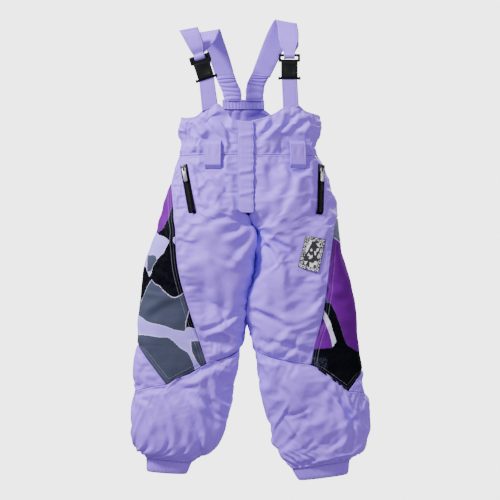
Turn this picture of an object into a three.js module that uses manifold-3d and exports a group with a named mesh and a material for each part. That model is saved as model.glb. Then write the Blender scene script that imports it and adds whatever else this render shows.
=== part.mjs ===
// Ski bib trousers for a child, hanging from their shoulder straps.
// Millimetres, +Z up, front towards -Y. The origin is level with the top of the straps, between them.
// The wearer's right is at -X. Every fabric piece is a closed sheet on a rounded hollow shape.

import * as THREE from 'three';
import { mergeVertices } from 'three/addons/utils/BufferGeometryUtils.js';
import Module from 'manifold-3d';

const wasm = await Module();
wasm.setup();

// Lengths down the garment
const strapRise = 198; // strap fold to armhole corner
const bibHeight = 81; // armhole corner to waist seam
const hipHeight = 141; // waist seam to the line that the legs swing on
const legLength = 470; // swing line to cuff
const cuffHeight = 28;

// Widths and depths
const bibWidth = 280;
const waistWidth = 270;
const hipWidth = 360;
const bodyDepth = 110;
const legDepth = 104; // at the top of a leg
const ankleDepth = 60;
const cuffDepth = 44;
const squareness = 2.6; // of the rounded sections: 2 is an ellipse

// Sheets, from the outside in
const wall = 6; // shell fabric with its padding
const liningWall = 1.2;
const liningRoom = 7.5; // between the torso's padding and its lining, where the pockets and elastic lie
const legLiningRoom = 2.8;
const innerRoom = 1.4; // from the padding to what is sewn inside it
const pocketWall = 2;
const elasticWall = 1.5;
const cuffWall = 3;
const clearance = 0.3;
const swingClearance = 0.4;

// How far the legs swing, in degrees
const swingForward = 35;
const swingBack = 15;

// Front flap and zips
const flapWidth = 31;
const flapWall = 3.6;
const frontZipX = -6;
const frontZipLength = 182;
const frontSlot = 15; // between the two front panels
const pocketZipLength = 102;
const tapeWidth = 15;
const frontTapeWidth = 26;
const tapeWall = 0.8;
const teethWidth = 8;
const teethWall = 1.6;
const teethPitch = 5;
const sliderWidth = 12;
const sliderLength = 16;
const sliderPlate = 1;
const pullWidth = 7.6;
const pullLength = 27;
const pullWall = 1;

// Straps and buckles
const strapWall = 2.4;
const lowerStrapWidth = 31;
const gatherWall = 2;
const gatherDepth = 7;
const backElasticWidth = 28;
const buckleWidth = 33;
const buckleLength = 32;
const buckleDepth = 9;
const buckleWall = 1.6;
const ladderWidth = 41;
const ladderBar = 3.2;
const ladderDepth = 5;
const ladderSlot = 7;
const armWidth = 3;
const loopWidth = 33;
const loopHeight = 56;
const loopStandOff = 5;
const loopWall = 1.6;

const armholeZ = -strapRise;
const waistZ = armholeZ - bibHeight;
const swingZ = waistZ - hipHeight;
const cuffZ = swingZ - legLength;

const colours = {
  shell: 0xa898f0, lining: 0x5b5288, print: 0x6d2a86, black: 0x15151b, metal: 0x9a9ca3, elastic: 0xd8d4e6,
  label: 0x2a2a30,
};
const group = new THREE.Group();
const toRadians = THREE.MathUtils.degToRad;

// --- Closed sheets -------------------------------------------------------------------------------

// A mesh from corners and triangles, turned so that its faces point out.
function solid(corners, triangles) {
  let volume = 0;
  for (const [a, b, c] of triangles) {
    volume += corners[a].dot(new THREE.Vector3().crossVectors(corners[b], corners[c]));
  }
  const ordered = volume < 0 ? triangles.map(([a, b, c]) => [a, c, b]) : triangles;
  const geometry = new THREE.BufferGeometry();
  geometry.setAttribute('position', new THREE.Float32BufferAttribute(corners.flatMap((p) => p.toArray()), 3));
  geometry.setIndex(ordered.flat());
  return geometry;
}

// A closed sheet of two faces. place(row, column, face) gives a corner, and a sheet that wraps is a tube.
function sheet(rows, columns, place, wraps = false) {
  const across = wraps ? columns : columns + 1;
  const corners = [];
  for (const face of [0, 1]) {
    for (let row = 0; row <= rows; row++) {
      for (let column = 0; column < across; column++) corners.push(place(row, column, face));
    }
  }
  const corner = (face, row, column) => (face * (rows + 1) + row) * across + (column % across);
  const triangles = [];
  const quad = (a, b, c, d) => triangles.push([a, b, c], [a, c, d]);
  for (let column = 0; column < columns; column++) {
    for (let row = 0; row < rows; row++) {
      quad(corner(0, row, column), corner(0, row, column + 1), corner(0, row + 1, column + 1),
        corner(0, row + 1, column));
      quad(corner(1, row, column), corner(1, row + 1, column), corner(1, row + 1, column + 1),
        corner(1, row, column + 1));
    }
    quad(corner(0, 0, column), corner(1, 0, column), corner(1, 0, column + 1), corner(0, 0, column + 1));
    quad(corner(0, rows, column), corner(0, rows, column + 1), corner(1, rows, column + 1),
      corner(1, rows, column));
  }
  for (let row = 0; row < rows && !wraps; row++) {
    quad(corner(0, row, 0), corner(0, row + 1, 0), corner(1, row + 1, 0), corner(1, row, 0));
    quad(corner(0, row, columns), corner(1, row, columns), corner(1, row + 1, columns),
      corner(0, row + 1, columns));
  }
  return solid(corners, triangles);
}

function add(name, geometry, colour, parent = group) {
  const metal = colour === 'metal';
  const material = new THREE.MeshStandardMaterial({
    color: colours[colour], roughness: metal ? 0.35 : 0.7, metalness: metal ? 1 : 0,
  });
  const mesh = new THREE.Mesh(geometry, material);
  mesh.name = name;
  parent.add(mesh);
  return mesh;
}

// --- Cutting and joining -------------------------------------------------------------------------

function toManifold(geometry) {
  const bare = geometry.clone();
  bare.deleteAttribute('normal');
  bare.deleteAttribute('uv');
  const merged = mergeVertices(bare, 1e-4);
  return new wasm.Manifold(new wasm.Mesh({
    numProp: 3,
    vertProperties: new Float32Array(merged.attributes.position.array),
    triVerts: new Uint32Array(merged.index.array),
  }));
}

function toGeometry(manifold) {
  const mesh = manifold.getMesh();
  const geometry = new THREE.BufferGeometry();
  geometry.setAttribute('position', new THREE.BufferAttribute(mesh.vertProperties, 3));
  geometry.setIndex(new THREE.BufferAttribute(mesh.triVerts, 1));
  return geometry;
}

const join = (...pieces) => toGeometry(pieces.map(toManifold).reduce((all, piece) => all.add(piece)));
const cut = (piece, tool) => toGeometry(toManifold(piece).subtract(toManifold(tool)));

function box(width, depth, height, x = 0, y = 0, z = 0) {
  return new THREE.BoxGeometry(width, depth, height).translate(x, y, z);
}

// --- Hollow shapes that the fabric lies on -------------------------------------------------------

// A smooth curve through a few [z, value] points listed downwards.
function smooth(points) {
  const slope = (i) => {
    const above = points[Math.max(i - 1, 0)];
    const below = points[Math.min(i + 1, points.length - 1)];
    return (below[1] - above[1]) / (below[0] - above[0]);
  };
  return (z) => {
    let i = 0;
    while (i < points.length - 2 && z < points[i + 1][0]) i++;
    const span = points[i + 1][0] - points[i][0];
    const t = THREE.MathUtils.clamp((z - points[i][0]) / span, 0, 1);
    const rise = t * t * (3 - 2 * t);
    const bend = span * t * (1 - t) * ((1 - t) * slope(i) - t * slope(i + 1));
    return points[i][1] + rise * (points[i + 1][1] - points[i][1]) + bend;
  };
}

const power = (value, exponent) => Math.sign(value) * Math.abs(value) ** exponent;
const blend = THREE.MathUtils.lerp;

// around is measured from the outer side of the shape: 90 is its front, 180 its inner side, -90 its back.
function pointOn(shape, around, z, inset) {
  const angle = toRadians(around);
  const half = (shape.right(z) - shape.left(z)) / 2 - inset;
  const middle = (shape.right(z) + shape.left(z)) / 2;
  const across = shape.side * half * power(Math.cos(angle), 2 / squareness);
  const out = (shape.depth(z) - inset) * power(Math.sin(angle), 2 / squareness);
  return new THREE.Vector3(middle + across, -out, z + shape.slant(z) * across);
}

// The turn at a distance in from the outer outline, towards the front, or the back where it is negative.
function aroundAt(shape, z, distance) {
  const half = (shape.right(z) - shape.left(z)) / 2;
  const cosine = power(1 - Math.abs(distance) / half, squareness / 2);
  return Math.sign(distance) * THREE.MathUtils.radToDeg(Math.acos(THREE.MathUtils.clamp(cosine, -1, 1)));
}

function aroundAtX(shape, z, x, face = 1) {
  const distance = shape.side < 0 ? x - shape.left(z) : shape.right(z) - x;
  return face * aroundAt(shape, z, distance);
}

// Moves along the surface, towards the inner side, by a small distance.
function moved(shape, around, z, distance) {
  const start = pointOn(shape, around, z, 0);
  let turn = around;
  while (start.distanceTo(pointOn(shape, turn, z, 0)) < Math.abs(distance)) turn += Math.sign(distance) * 0.02;
  return turn;
}

const narrow = clearance / 2;
const trimmed = (shape, edge, distance) => edge.map(([turn, z]) => [moved(shape, turn, z, distance), z]);

// A sheet on a shape between two edges, which are lists of [around, z] of equal length.
// top and bottom give the height of its first and last rows at each turn, and middle is a line half-way across.
function patch(shape, { outer, middle, inner, top, bottom, columns = 6, from = 0, to = wall }) {
  const rows = outer.length - 1;
  const across = (row, u, k) => {
    if (!middle) return blend(outer[row][k], inner[row][k], u);
    if (u < 0.5) return blend(outer[row][k], middle[row][k], 2 * u);
    return blend(middle[row][k], inner[row][k], 2 * u - 1);
  };
  return sheet(rows, columns, (row, column, face) => {
    const turn = across(row, column / columns, 0);
    let z = across(row, column / columns, 1);
    if (top && row === 0) z = top(turn);
    if (bottom && row === rows) z = bottom(turn);
    return pointOn(shape, turn, z, face ? to : from);
  });
}

// A tube all round a shape. turns lists its columns, where they have to meet another piece's.
function tube(shape, { top, bottom, rows, columns = 24, turns, from = 0, to = wall }) {
  const places = turns ?? Array.from({ length: columns }, (_, i) => 360 * i / columns - 180);
  return sheet(rows, places.length, (row, column, face) => {
    const turn = places[column];
    return pointOn(shape, turn, blend(top(turn), bottom(turn), row / rows), face ? to : from);
  }, true);
}

const level = (z) => () => z;
const steps = (count, at) => Array.from({ length: count + 1 }, (_, i) => at(i / count));
const edgeAt = (turn, z0, z1, count) => steps(count, (t) => [turn, blend(z0, z1, t)]);

// --- The torso's and the legs' shapes ------------------------------------------------------------

const torsoOutline = {
  left: smooth([[armholeZ + 60, -bibWidth / 2], [armholeZ, 1 - bibWidth / 2], [armholeZ - 32, -5 - bibWidth / 2],
    [waistZ + 20, -3 - waistWidth / 2], [waistZ - 21, -16 - waistWidth / 2], [waistZ - 70, -30 - waistWidth / 2],
    [swingZ, -5 - hipWidth / 2]]),
  right: smooth([[armholeZ + 60, bibWidth / 2], [armholeZ, 2 + bibWidth / 2], [armholeZ - 32, 1 + bibWidth / 2],
    [waistZ + 15, -3 + waistWidth / 2], [waistZ - 21, 15 + waistWidth / 2], [waistZ - 70, 28 + waistWidth / 2],
    [swingZ, -3 + hipWidth / 2]]),
  depth: (z) => bodyDepth / 2 - 13 * (z - swingZ) / (armholeZ - swingZ),
  slant: level(0),
};
const torsoRight = { ...torsoOutline, side: -1 };
const torsoLeft = { ...torsoOutline, side: 1 };

// Each leg's stations: the share of the leg's length from the swing line, then its outer and inner x.
const down = (share) => swingZ - share * legLength;
const leftCuff = 1.02;
const legDepths = smooth([[down(0), legDepth / 2], [down(0.35), 43], [down(0.65), 38], [down(0.92), 2 + ankleDepth / 2],
  [down(1), cuffDepth / 2], [down(1) - cuffHeight, cuffDepth / 2 - 3]]);
const legRight = {
  side: -1,
  left: smooth([[down(0), -5 - hipWidth / 2], [down(0.18), -212], [down(0.35), -222], [down(0.52), -227], [down(0.7), -234],
    [down(0.86), -233], [down(0.95), -228], [down(1), -213], [down(1) - cuffHeight, -211]]),
  right: smooth([[down(0), 11], [down(0.07), 10], [down(0.35), -10], [down(0.5), -19], [down(0.65), -33],
    [down(0.82), -52], [down(0.93), -70], [down(1), -114], [down(1) - cuffHeight, -126]]),
  depth: legDepths,
  slant: smooth([[down(0.85), 0], [down(0.93), -0.03], [down(1), -0.11], [down(1) - cuffHeight, -0.07]]),
};
const legLeft = {
  side: 1,
  left: smooth([[down(0), 17], [down(0.07), 16], [down(0.35), -4], [down(0.42), -4], [down(0.5), 5],
    [down(0.62), 15], [down(0.76), 31], [down(0.92), 46], [down(0.98), 68], [down(leftCuff), 82],
    [down(leftCuff) - cuffHeight, 96]]),
  right: smooth([[down(0), -4 + hipWidth / 2], [down(0.12), 187], [down(0.27), 203], [down(0.4), 214], [down(0.52), 218],
    [down(0.62), 226], [down(0.75), 233], [down(0.88), 232], [down(0.97), 224], [down(leftCuff), 205],
    [down(leftCuff) - cuffHeight, 200]]),
  depth: smooth([[down(0), legDepth / 2], [down(0.35), 43], [down(0.65), 38], [down(0.95), 2 + ankleDepth / 2],
    [down(leftCuff), cuffDepth / 2], [down(leftCuff) - cuffHeight, cuffDepth / 2 - 3]]),
  slant: smooth([[down(0.85), 0], [down(0.95), 0.05], [down(leftCuff), 0.146], [down(leftCuff) - cuffHeight, 0.127]]),
};

// The wedge of room that a swinging leg needs, as a height above or below the swing line at a turn.
function swingRoom(shape, turn) {
  const y = pointOn(shape, turn, swingZ, 0).y;
  const angle = y < 0 ? swingForward : swingBack;
  return Math.abs(y) * Math.tan(toRadians(angle / 2)) + swingClearance;
}
const torsoFoot = (shape) => (turn) => swingZ + swingRoom(shape, turn);
const legTop = (shape) => (turn) => swingZ - swingRoom(shape, turn);

// --- Printed side panels: a kite round the outer side of each thigh ------------------------------

// Each corner is a distance from the outer outline, towards the front, and a height.
const kiteRight = {
  tip: [2, waistZ - 56], front: [143, down(0.585)], foot: [68, down(0.674)], back: [-60, down(0.362)], bow: 9,
};
const kiteLeft = {
  tip: [-20, waistZ - 64], front: [101, down(0.589)], foot: [35, down(0.704)], back: [-100, down(0.383)], bow: 3,
};
const kiteTipWidth = 4;
const legRows = 9; // of corners down a leg's front panel

function kiteLine(shape, from, to, bow, count) {
  return steps(count, (t) => {
    const z = blend(from[1], to[1], t);
    return [aroundAt(shape, z, blend(from[0], to[0], t) + bow * Math.sin(Math.PI * t)), z];
  });
}

// Where the straight line between two of a kite's corners crosses a height.
function cutLine(from, to, z) {
  const t = (z - from[1]) / (to[1] - from[1]);
  return [blend(from[0], to[0], t), z];
}

function turnLine(from, to, count) {
  return steps(count, (t) => [blend(from[0], to[0], t), blend(from[1], to[1], t)]);
}

function kiteEdges(torso, leg, kite) {
  const tip = kite.tip;
  const hipFront = cutLine(tip, kite.front, swingZ);
  const hipBack = cutLine(tip, kite.back, swingZ);
  const frontHip = kiteLine(torso, tip, hipFront, 0, 3);
  const backHip = kiteLine(torso, [tip[0] - kiteTipWidth, tip[1]], hipBack, 0, 3);
  const frontLeg = kiteLine(leg, hipFront, kite.front, kite.bow, legRows);
  const backLeg = kiteLine(leg, hipBack, kite.back, 0, legRows - 3);
  const foot = [aroundAt(leg, kite.foot[1], kite.foot[0]), kite.foot[1]];
  const frontFoot = turnLine(frontLeg[legRows], foot, 3).slice(1);
  const backFoot = turnLine(backLeg[legRows - 3], [foot[0] - 2, foot[1]], 6).slice(1);
  return { frontHip, backHip, frontLeg, backLeg, foot, frontFoot, backFoot };
}

// A line down a printed panel that meets the swing line at the outer outline. share is 1 at the swing line.
function printMiddle(front, back, share) {
  return front.map(([turn, z], i) => {
    const mean = (turn + back[i][0]) / 2;
    return [mean * (1 - share(i / (front.length - 1))), (z + back[i][1]) / 2];
  });
}

// --- Torso panels --------------------------------------------------------------------------------

// The bib's top edge: [x, drop below the armhole corner], with the straps' feet as level steps.
const bibTop = [[-145, 0], [-128, 5], [-110, 4], [-101, -2], [-95, -10], [-62, -24], [-48, -6], [-32, 11], [0, 13],
  [24, 8], [51, -3], [65, -14], [97, -21], [110, -8], [124, -4], [145, 0]];
const backTop = [[-145, 0], [-120, 8], [-96, 4], [-79, -3], [-64, -14], [-58, -20.5], [30, -20.5], [36, -14],
  [51, -3], [80, 4], [110, 8], [145, 0]];

function heightAt(line, x) {
  let i = 0;
  while (i < line.length - 2 && x > line[i + 1][0]) i++;
  const t = THREE.MathUtils.clamp((x - line[i][0]) / (line[i + 1][0] - line[i][0]), 0, 1);
  return armholeZ - blend(line[i][1], line[i + 1][1], t);
}
const edgeOver = (shape, line) => (turn) => heightAt(line, pointOn(shape, turn, armholeZ, 0).x);

// Adds the bib's front panel and returns the hip's, whose pocket slit is still to be cut.
function frontPanels(name, shape, slotX, edges) {
  const bibRows = 4;
  const slot = (z0, z1, rows) => steps(rows, (t) => [aroundAtX(shape, blend(z0, z1, t), slotX), blend(z0, z1, t)]);
  const side = moved(shape, 0, armholeZ, narrow);
  add(`bib_front_${name}`, patch(shape, {
    outer: edgeAt(side, armholeZ, waistZ + narrow, bibRows),
    inner: slot(armholeZ, waistZ + narrow, bibRows),
    top: edgeOver(shape, bibTop),
    columns: 18,
  }), 'shell');
  const tipZ = edges.frontHip[0][1];
  const besideKite = trimmed(shape, edges.frontHip, 1.5 * narrow);
  const outer = [...edgeAt(side, waistZ - narrow, tipZ + 1, 2), ...besideKite];
  const inner = steps(outer.length - 1, (t) => {
    const z = blend(waistZ - narrow, swingZ, t);
    return [aroundAtX(shape, z, slotX), z];
  });
  return patch(shape, { outer, inner, bottom: torsoFoot(shape), columns: 12 });
}

function hipPanels(name, shape, edges, centreX) {
  add(`hip_print_${name}`, patch(shape, {
    outer: trimmed(shape, edges.frontHip, -narrow),
    middle: printMiddle(edges.frontHip, edges.backHip, (t) => t),
    inner: trimmed(shape, edges.backHip, narrow),
    bottom: torsoFoot(shape),
    columns: 4,
  }), 'print');
  const side = moved(shape, 0, armholeZ, -narrow);
  const tipZ = edges.backHip[0][1];
  const besideKite = trimmed(shape, edges.backHip.map(([turn, z]) => [Math.min(turn, 0), z]), -1.5 * narrow);
  const outer = [...edgeAt(side, waistZ - narrow, tipZ + 1, 2), ...besideKite];
  const inner = steps(outer.length - 1, (t) => {
    const z = blend(waistZ - narrow, swingZ, t);
    return [aroundAtX(shape, z, centreX, -1), z];
  });
  add(`hip_back_${name}`, patch(shape, { outer, inner, bottom: torsoFoot(shape), columns: 14 }), 'shell');
}

function backBib() {
  const shape = torsoRight;
  add('bib_back', patch(shape, {
    outer: edgeAt(moved(shape, 0, armholeZ, -narrow), armholeZ, waistZ + narrow, 3),
    inner: edgeAt(moved(shape, -180, armholeZ, narrow), armholeZ, waistZ + narrow, 3),
    top: edgeOver(shape, backTop),
    columns: 20,
  }), 'shell');
  const bandTop = armholeZ + 38;
  const bandFoot = armholeZ + 20.5 + clearance;
  const bandEdge = (x) => steps(1, (t) => {
    const z = blend(bandTop, bandFoot, t);
    return [aroundAtX(shape, z, x, -1), z];
  });
  add('bib_back_band', patch(shape, { outer: bandEdge(-57), inner: bandEdge(29), columns: 4 }), 'shell');
}

function waistElastic() {
  add('waist_elastic', patch(torsoRight, {
    outer: edgeAt(34, waistZ + 24, waistZ + 3, 1),
    inner: edgeAt(-214, waistZ + 24, waistZ + 3, 1),
    columns: 36,
    from: wall + innerRoom,
    to: wall + innerRoom + elasticWall,
  }), 'elastic');
}

const liningInset = wall + liningRoom;

function torsoLining() {
  add('lining_torso', tube(torsoRight, {
    top: level(armholeZ - 16),
    bottom: torsoFoot(torsoRight),
    rows: 5,
    columns: 30,
    from: liningInset,
    to: liningInset + liningWall,
  }), 'lining');
}

// --- Legs ----------------------------------------------------------------------------------------

const frontColumns = 11;
const backColumns = 14;
const kneeInseam = down(0.52);
const kneeOutline = down(0.72);

function leg(name, shape, edges, cuffTop) {
  const rows = edges.frontLeg.length - 1;
  const inseam = moved(shape, 180, swingZ, -narrow);
  const top = legTop(shape);
  const front = trimmed(shape, edges.frontLeg, narrow);
  add(`leg_front_${name}`, patch(shape, {
    outer: front,
    inner: edgeAt(inseam, swingZ, kneeInseam, rows),
    top,
    columns: frontColumns,
  }), 'shell');

  const printFront = [...edges.frontLeg, ...edges.frontFoot];
  const printBack = [...edges.backLeg, ...edges.backFoot];
  const backRows = printBack.length - 1;
  const kneeBack = (turn) => (turn > 0
    ? blend(kneeOutline, edges.foot[1], turn / edges.foot[0])
    : blend(kneeOutline, kneeInseam, -turn / 180));
  const kneeFront = (turn) => {
    const [cornerTurn, cornerZ] = edges.frontLeg[rows];
    if (turn < cornerTurn) return blend(edges.foot[1], cornerZ, (turn - edges.foot[0]) / (cornerTurn - edges.foot[0]));
    return blend(cornerZ, kneeInseam, (turn - cornerTurn) / (180 - cornerTurn));
  };
  const knee = (turn) => (turn < edges.foot[0] ? kneeBack(turn) : kneeFront(turn));

  add(`leg_back_${name}`, patch(shape, {
    outer: trimmed(shape, printBack, -narrow),
    inner: edgeAt(-inseam, swingZ, kneeInseam, backRows),
    top,
    bottom: kneeBack,
    columns: backColumns,
  }), 'shell');

  add(`leg_print_${name}`, patch(shape, {
    outer: trimmed(shape, printFront, -narrow),
    middle: printMiddle(printFront, printBack, (t) => 1 - t),
    inner: trimmed(shape, printBack, narrow),
    top,
    columns: 8,
  }), 'print');

  const between = (a, b, count) => steps(count, (t) => blend(a, b, t)).slice(0, -1);
  const cornerTurn = edges.frontLeg[rows][0];
  add(`leg_lower_${name}`, tube(shape, {
    top: (turn) => knee(turn) - 4 * clearance,
    bottom: level(cuffTop + narrow),
    rows: 8,
    turns: [...between(-180, edges.foot[0], backColumns), ...between(edges.foot[0], cornerTurn, 3),
      ...between(cornerTurn, 180, frontColumns)],
  }), 'shell');

  add(`cuff_${name}`, tube(shape, {
    top: level(cuffTop - narrow),
    bottom: level(cuffTop - cuffHeight),
    rows: 2,
    columns: 20,
    to: cuffWall,
  }), 'shell');
  add(`cuff_elastic_${name}`, tube(shape, {
    top: level(cuffTop - 4),
    bottom: level(cuffTop - cuffHeight + 4),
    rows: 1,
    columns: 20,
    from: cuffWall + 3 * clearance,
    to: cuffWall + 3 * clearance + elasticWall,
  }), 'elastic');
  add(`lining_leg_${name}`, tube(shape, {
    top,
    bottom: level(cuffTop + 12),
    rows: 12,
    columns: 28,
    from: wall + legLiningRoom,
    to: wall + legLiningRoom + liningWall,
  }), 'lining');
}

// --- Frames for what is fixed to the surface -----------------------------------------------------

// How far the surface stands out past the frame's plane, under a piece, with a clearance.
function proud(shape, frame, middle, length, width) {
  const turn = aroundAtX(shape, middle.z, middle.x);
  const inFrame = frame.quaternion.clone().invert();
  let most = 0;
  for (let z = middle.z - length / 2; z <= middle.z + length / 2; z += length / 12) {
    for (let swing = -30; swing <= 30; swing += 1) {
      const local = pointOn(shape, turn + swing, z, 0).sub(middle).applyQuaternion(inFrame);
      if (Math.abs(local.x) <= width / 2) most = Math.max(most, -local.y);
    }
  }
  return most + clearance;
}

// A group on the surface: its -Y points out, and its Z runs along the way from one place to another.
// It lies just clear of the surface under a piece of the given width.
function seat(shape, topX, topZ, footX, footZ, width) {
  const place = (share, inset = 0) => {
    const z = blend(topZ, footZ, share);
    return pointOn(shape, aroundAtX(shape, z, blend(topX, footX, share)), z, inset);
  };
  const up = place(0).sub(place(1)).normalize();
  const middle = place(0.5);
  const beside = pointOn(shape, aroundAtX(shape, middle.z, middle.x) + shape.side * -4, middle.z, 0);
  const across = beside.sub(middle).normalize();
  if (across.x < 0) across.negate();
  const inwards = new THREE.Vector3().crossVectors(up, across).normalize();
  across.crossVectors(inwards, up).normalize();
  const frame = new THREE.Group();
  frame.matrix.makeBasis(across, inwards, up);
  frame.quaternion.setFromRotationMatrix(frame.matrix);
  frame.position.copy(middle).addScaledVector(inwards, -proud(shape, frame, middle, topZ - footZ, width));
  group.add(frame);
  return frame;
}

// --- Zips ----------------------------------------------------------------------------------------

// Two rows of meshed teeth, as one strip with a toothed edge on each side.
function teethStrip(length) {
  const outline = new THREE.Shape();
  const half = teethWidth / 2;
  const root = half - 1.2;
  const count = Math.floor(length / teethPitch);
  const start = -count * teethPitch / 2;
  const side = (i, sign) => [[root, 0.1], [half, 0.25], [half, 0.65], [root, 0.8]].map(
    ([x, share]) => new THREE.Vector2(sign * x, start + (i + share) * teethPitch));
  const right = Array.from({ length: count }, (_, i) => side(i, 1)).flat();
  const left = Array.from({ length: count }, (_, i) => side(i, -1)).flat().reverse();
  outline.setFromPoints([...right, ...left]);
  return new THREE.ExtrudeGeometry(outline, { depth: teethWall, bevelEnabled: false })
    .rotateX(Math.PI / 2);
}

const pivotRise = 0.95; // of the pull's bar above the slider's plate
const archWidth = 2.2;
const archLength = 6;

function sliderBody() {
  const flangeDrop = teethWall + sliderPlate;
  const plate = box(sliderWidth, sliderPlate, sliderLength, 0, -sliderPlate / 2);
  const flange = (sign) => box(1.2, flangeDrop, sliderLength, sign * (sliderWidth - 1.2) / 2,
    flangeDrop / 2 - sliderPlate);
  const arch = box(archWidth, 2.7, archLength, 0, -sliderPlate - 1.35 + 0.05);
  const eye = box(archWidth + 2, 2 * pivotRise, archLength - 2.4, 0, -sliderPlate - pivotRise);
  return join(plate, flange(1), flange(-1), cut(arch, eye));
}

function pullPlate() {
  const outline = new THREE.Shape();
  const half = pullWidth / 2;
  outline.moveTo(-half, 0.6);
  outline.lineTo(half, 0.6);
  outline.lineTo(half, 3 - pullLength);
  outline.quadraticCurveTo(half, -pullLength, 0, -pullLength);
  outline.quadraticCurveTo(-half, -pullLength, -half, 3 - pullLength);
  outline.closePath();
  const eye = new THREE.Path();
  const eyeHalf = archWidth / 2 + 0.5;
  eye.moveTo(-eyeHalf, -0.6);
  eye.lineTo(-eyeHalf, -archLength);
  eye.lineTo(eyeHalf, -archLength);
  eye.lineTo(eyeHalf, -0.6);
  eye.closePath();
  outline.holes.push(eye);
  return new THREE.ExtrudeGeometry(outline, { depth: pullWall, bevelEnabled: false, curveSegments: 5 })
    .translate(0, 0, -pullWall / 2)
    .rotateX(Math.PI / 2);
}

// The frame's origin is on the front of the fabric, or on the back of the tape where the zip is inside.
function zip(name, frame, length, width) {
  frame.name = `${name}_frame`;
  add(`${name}_tape`, box(width, tapeWall, length, 0, -tapeWall / 2), 'black', frame);
  const teethBack = -tapeWall - clearance;
  add(`${name}_teeth`, teethStrip(length - 4).translate(0, teethBack, 0), 'black', frame);
  const slider = new THREE.Group();
  slider.position.set(0, teethBack - teethWall - clearance, (length - sliderLength) / 2 - 1);
  frame.add(slider);
  add(`${name}_slider`, sliderBody(), 'metal', slider);
  const pull = new THREE.Group();
  pull.name = `${name}_pull_pivot`;
  pull.position.set(0, -sliderPlate - pivotRise, 0);
  slider.add(pull);
  add(`${name}_pull`, pullPlate(), 'metal', pull);
}

function pocket(name, shape, topX, footX) {
  const topZ = waistZ - 17;
  const footZ = topZ - pocketZipLength;
  const frame = seat(shape, topX, topZ, footX, footZ, tapeWidth);
  zip(`pocket_zip_${name}`, frame, pocketZipLength, tapeWidth);
  const bagEdge = (offset) => steps(3, (t) => {
    const z = blend(topZ - 6, swingZ + 42, t);
    return [aroundAtX(shape, z, blend(topX, footX, t) - shape.side * offset), z];
  });
  add(`pocket_bag_${name}`, patch(shape, {
    outer: bagEdge(-2),
    inner: bagEdge(46),
    columns: 4,
    from: wall + innerRoom,
    to: wall + innerRoom + pocketWall,
  }), 'lining');
  frame.updateWorldMatrix(true, false);
  return box(7, 60, pocketZipLength - 12).applyMatrix4(frame.matrixWorld);
}

// --- Belt loops and label ------------------------------------------------------------------------

function beltLoop(name, shape, x, topZ) {
  const frame = seat(shape, x, topZ, x, topZ - loopHeight, loopWidth);
  const half = loopHeight / 2;
  const out = loopStandOff + loopWall;
  const outline = new THREE.Shape([[0, -half], [out, 7 - half], [out, half - 7], [0, half], [0, half - 6],
    [loopStandOff, half - 8], [loopStandOff, 8 - half], [0, 6 - half]].map(([y, z]) => new THREE.Vector2(y, z)));
  const strip = new THREE.ExtrudeGeometry(outline, { depth: loopWidth, bevelEnabled: false });
  strip.translate(0, 0, -loopWidth / 2);
  strip.applyMatrix4(new THREE.Matrix4().makeBasis(new THREE.Vector3(0, -1, 0), new THREE.Vector3(0, 0, 1),
    new THREE.Vector3(-1, 0, 0)));
  add(`belt_loop_${name}`, strip, 'shell', frame);
}

function label() {
  const place = ([x, z]) => [aroundAtX(legLeft, z, x), z];
  const side = (a, b) => steps(6, (t) => place([blend(a[0], b[0], t), blend(a[1], b[1], t)]));
  add('label_patch', patch(legLeft, {
    outer: side([150, swingZ - 27], [135, swingZ - 94]),
    inner: side([110, swingZ - 19], [95, swingZ - 82]),
    columns: 6,
    from: -clearance - 1,
    to: -clearance,
  }), 'label');
}

// --- Front flap ----------------------------------------------------------------------------------

const flapTop = armholeZ - 14;
const flapFoot = flapTop - 183;
const flapHingeX = frontZipX + 14;

function flap() {
  const shape = torsoRight;
  const edge = (x) => steps(4, (t) => {
    const z = blend(flapTop, flapFoot, t);
    return [aroundAtX(shape, z, x), z];
  });
  add('front_flap', patch(shape, {
    outer: edge(flapHingeX - flapWidth),
    inner: edge(flapHingeX),
    columns: 4,
    from: -clearance - flapWall,
    to: -clearance,
  }), 'shell');
}

function frontZip() {
  const shape = torsoRight;
  const topZ = armholeZ - 17;
  const frame = seat(shape, frontZipX, topZ, frontZipX, topZ - frontZipLength, 0);
  frame.translateY(wall + 2 * clearance + tapeWall);
  zip('front_zip', frame, frontZipLength, frontTapeWidth);
}

// --- Straps --------------------------------------------------------------------------------------

// A ribbon through stations, each with its two edge points.
function ribbonFrame(stations) {
  const edges = [0, 1].map((k) => new THREE.CatmullRomCurve3(stations.map((s) => s[k]), false, 'centripetal'));
  return (share) => {
    const [a, b] = edges.map((edge) => edge.getPoint(share));
    const [c, d] = edges.map((edge) => edge.getTangent(share));
    const across = b.clone().sub(a);
    const normal = c.add(d).normalize().cross(across).normalize();
    return { middle: a.clone().add(b).multiplyScalar(0.5), half: across.multiplyScalar(0.5), normal };
  };
}

function ribbon(stations, rows, thickness, from = 0, to = 1, columns = 1) {
  const frame = ribbonFrame(stations);
  return sheet(rows, columns, (row, column, face) => {
    const { middle, half, normal } = frame(blend(from, to, row / rows));
    return middle.addScaledVector(half, 2 * column / columns - 1)
      .addScaledVector(normal, (face ? 0.5 : -0.5) * thickness);
  });
}

// A flat hollow casing round a ribbon's path.
function casing(stations, rows, depth, skin) {
  const frame = ribbonFrame(stations);
  const ring = [[-1, -0.5], [-0.8, -1], [0.8, -1], [1, -0.5], [1, 0.5], [0.8, 1], [-0.8, 1], [-1, 0.5]];
  return sheet(rows, ring.length, (row, column, face) => {
    const { middle, half, normal } = frame(row / rows);
    const shrink = face ? skin : 0;
    const width = half.length() - shrink;
    const [x, y] = ring[column % ring.length];
    return middle.addScaledVector(half.normalize(), x * width)
      .addScaledVector(normal, y * (depth / 2 - shrink));
  }, true);
}

const at = (x, y, z) => new THREE.Vector3(x, y, z);

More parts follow.
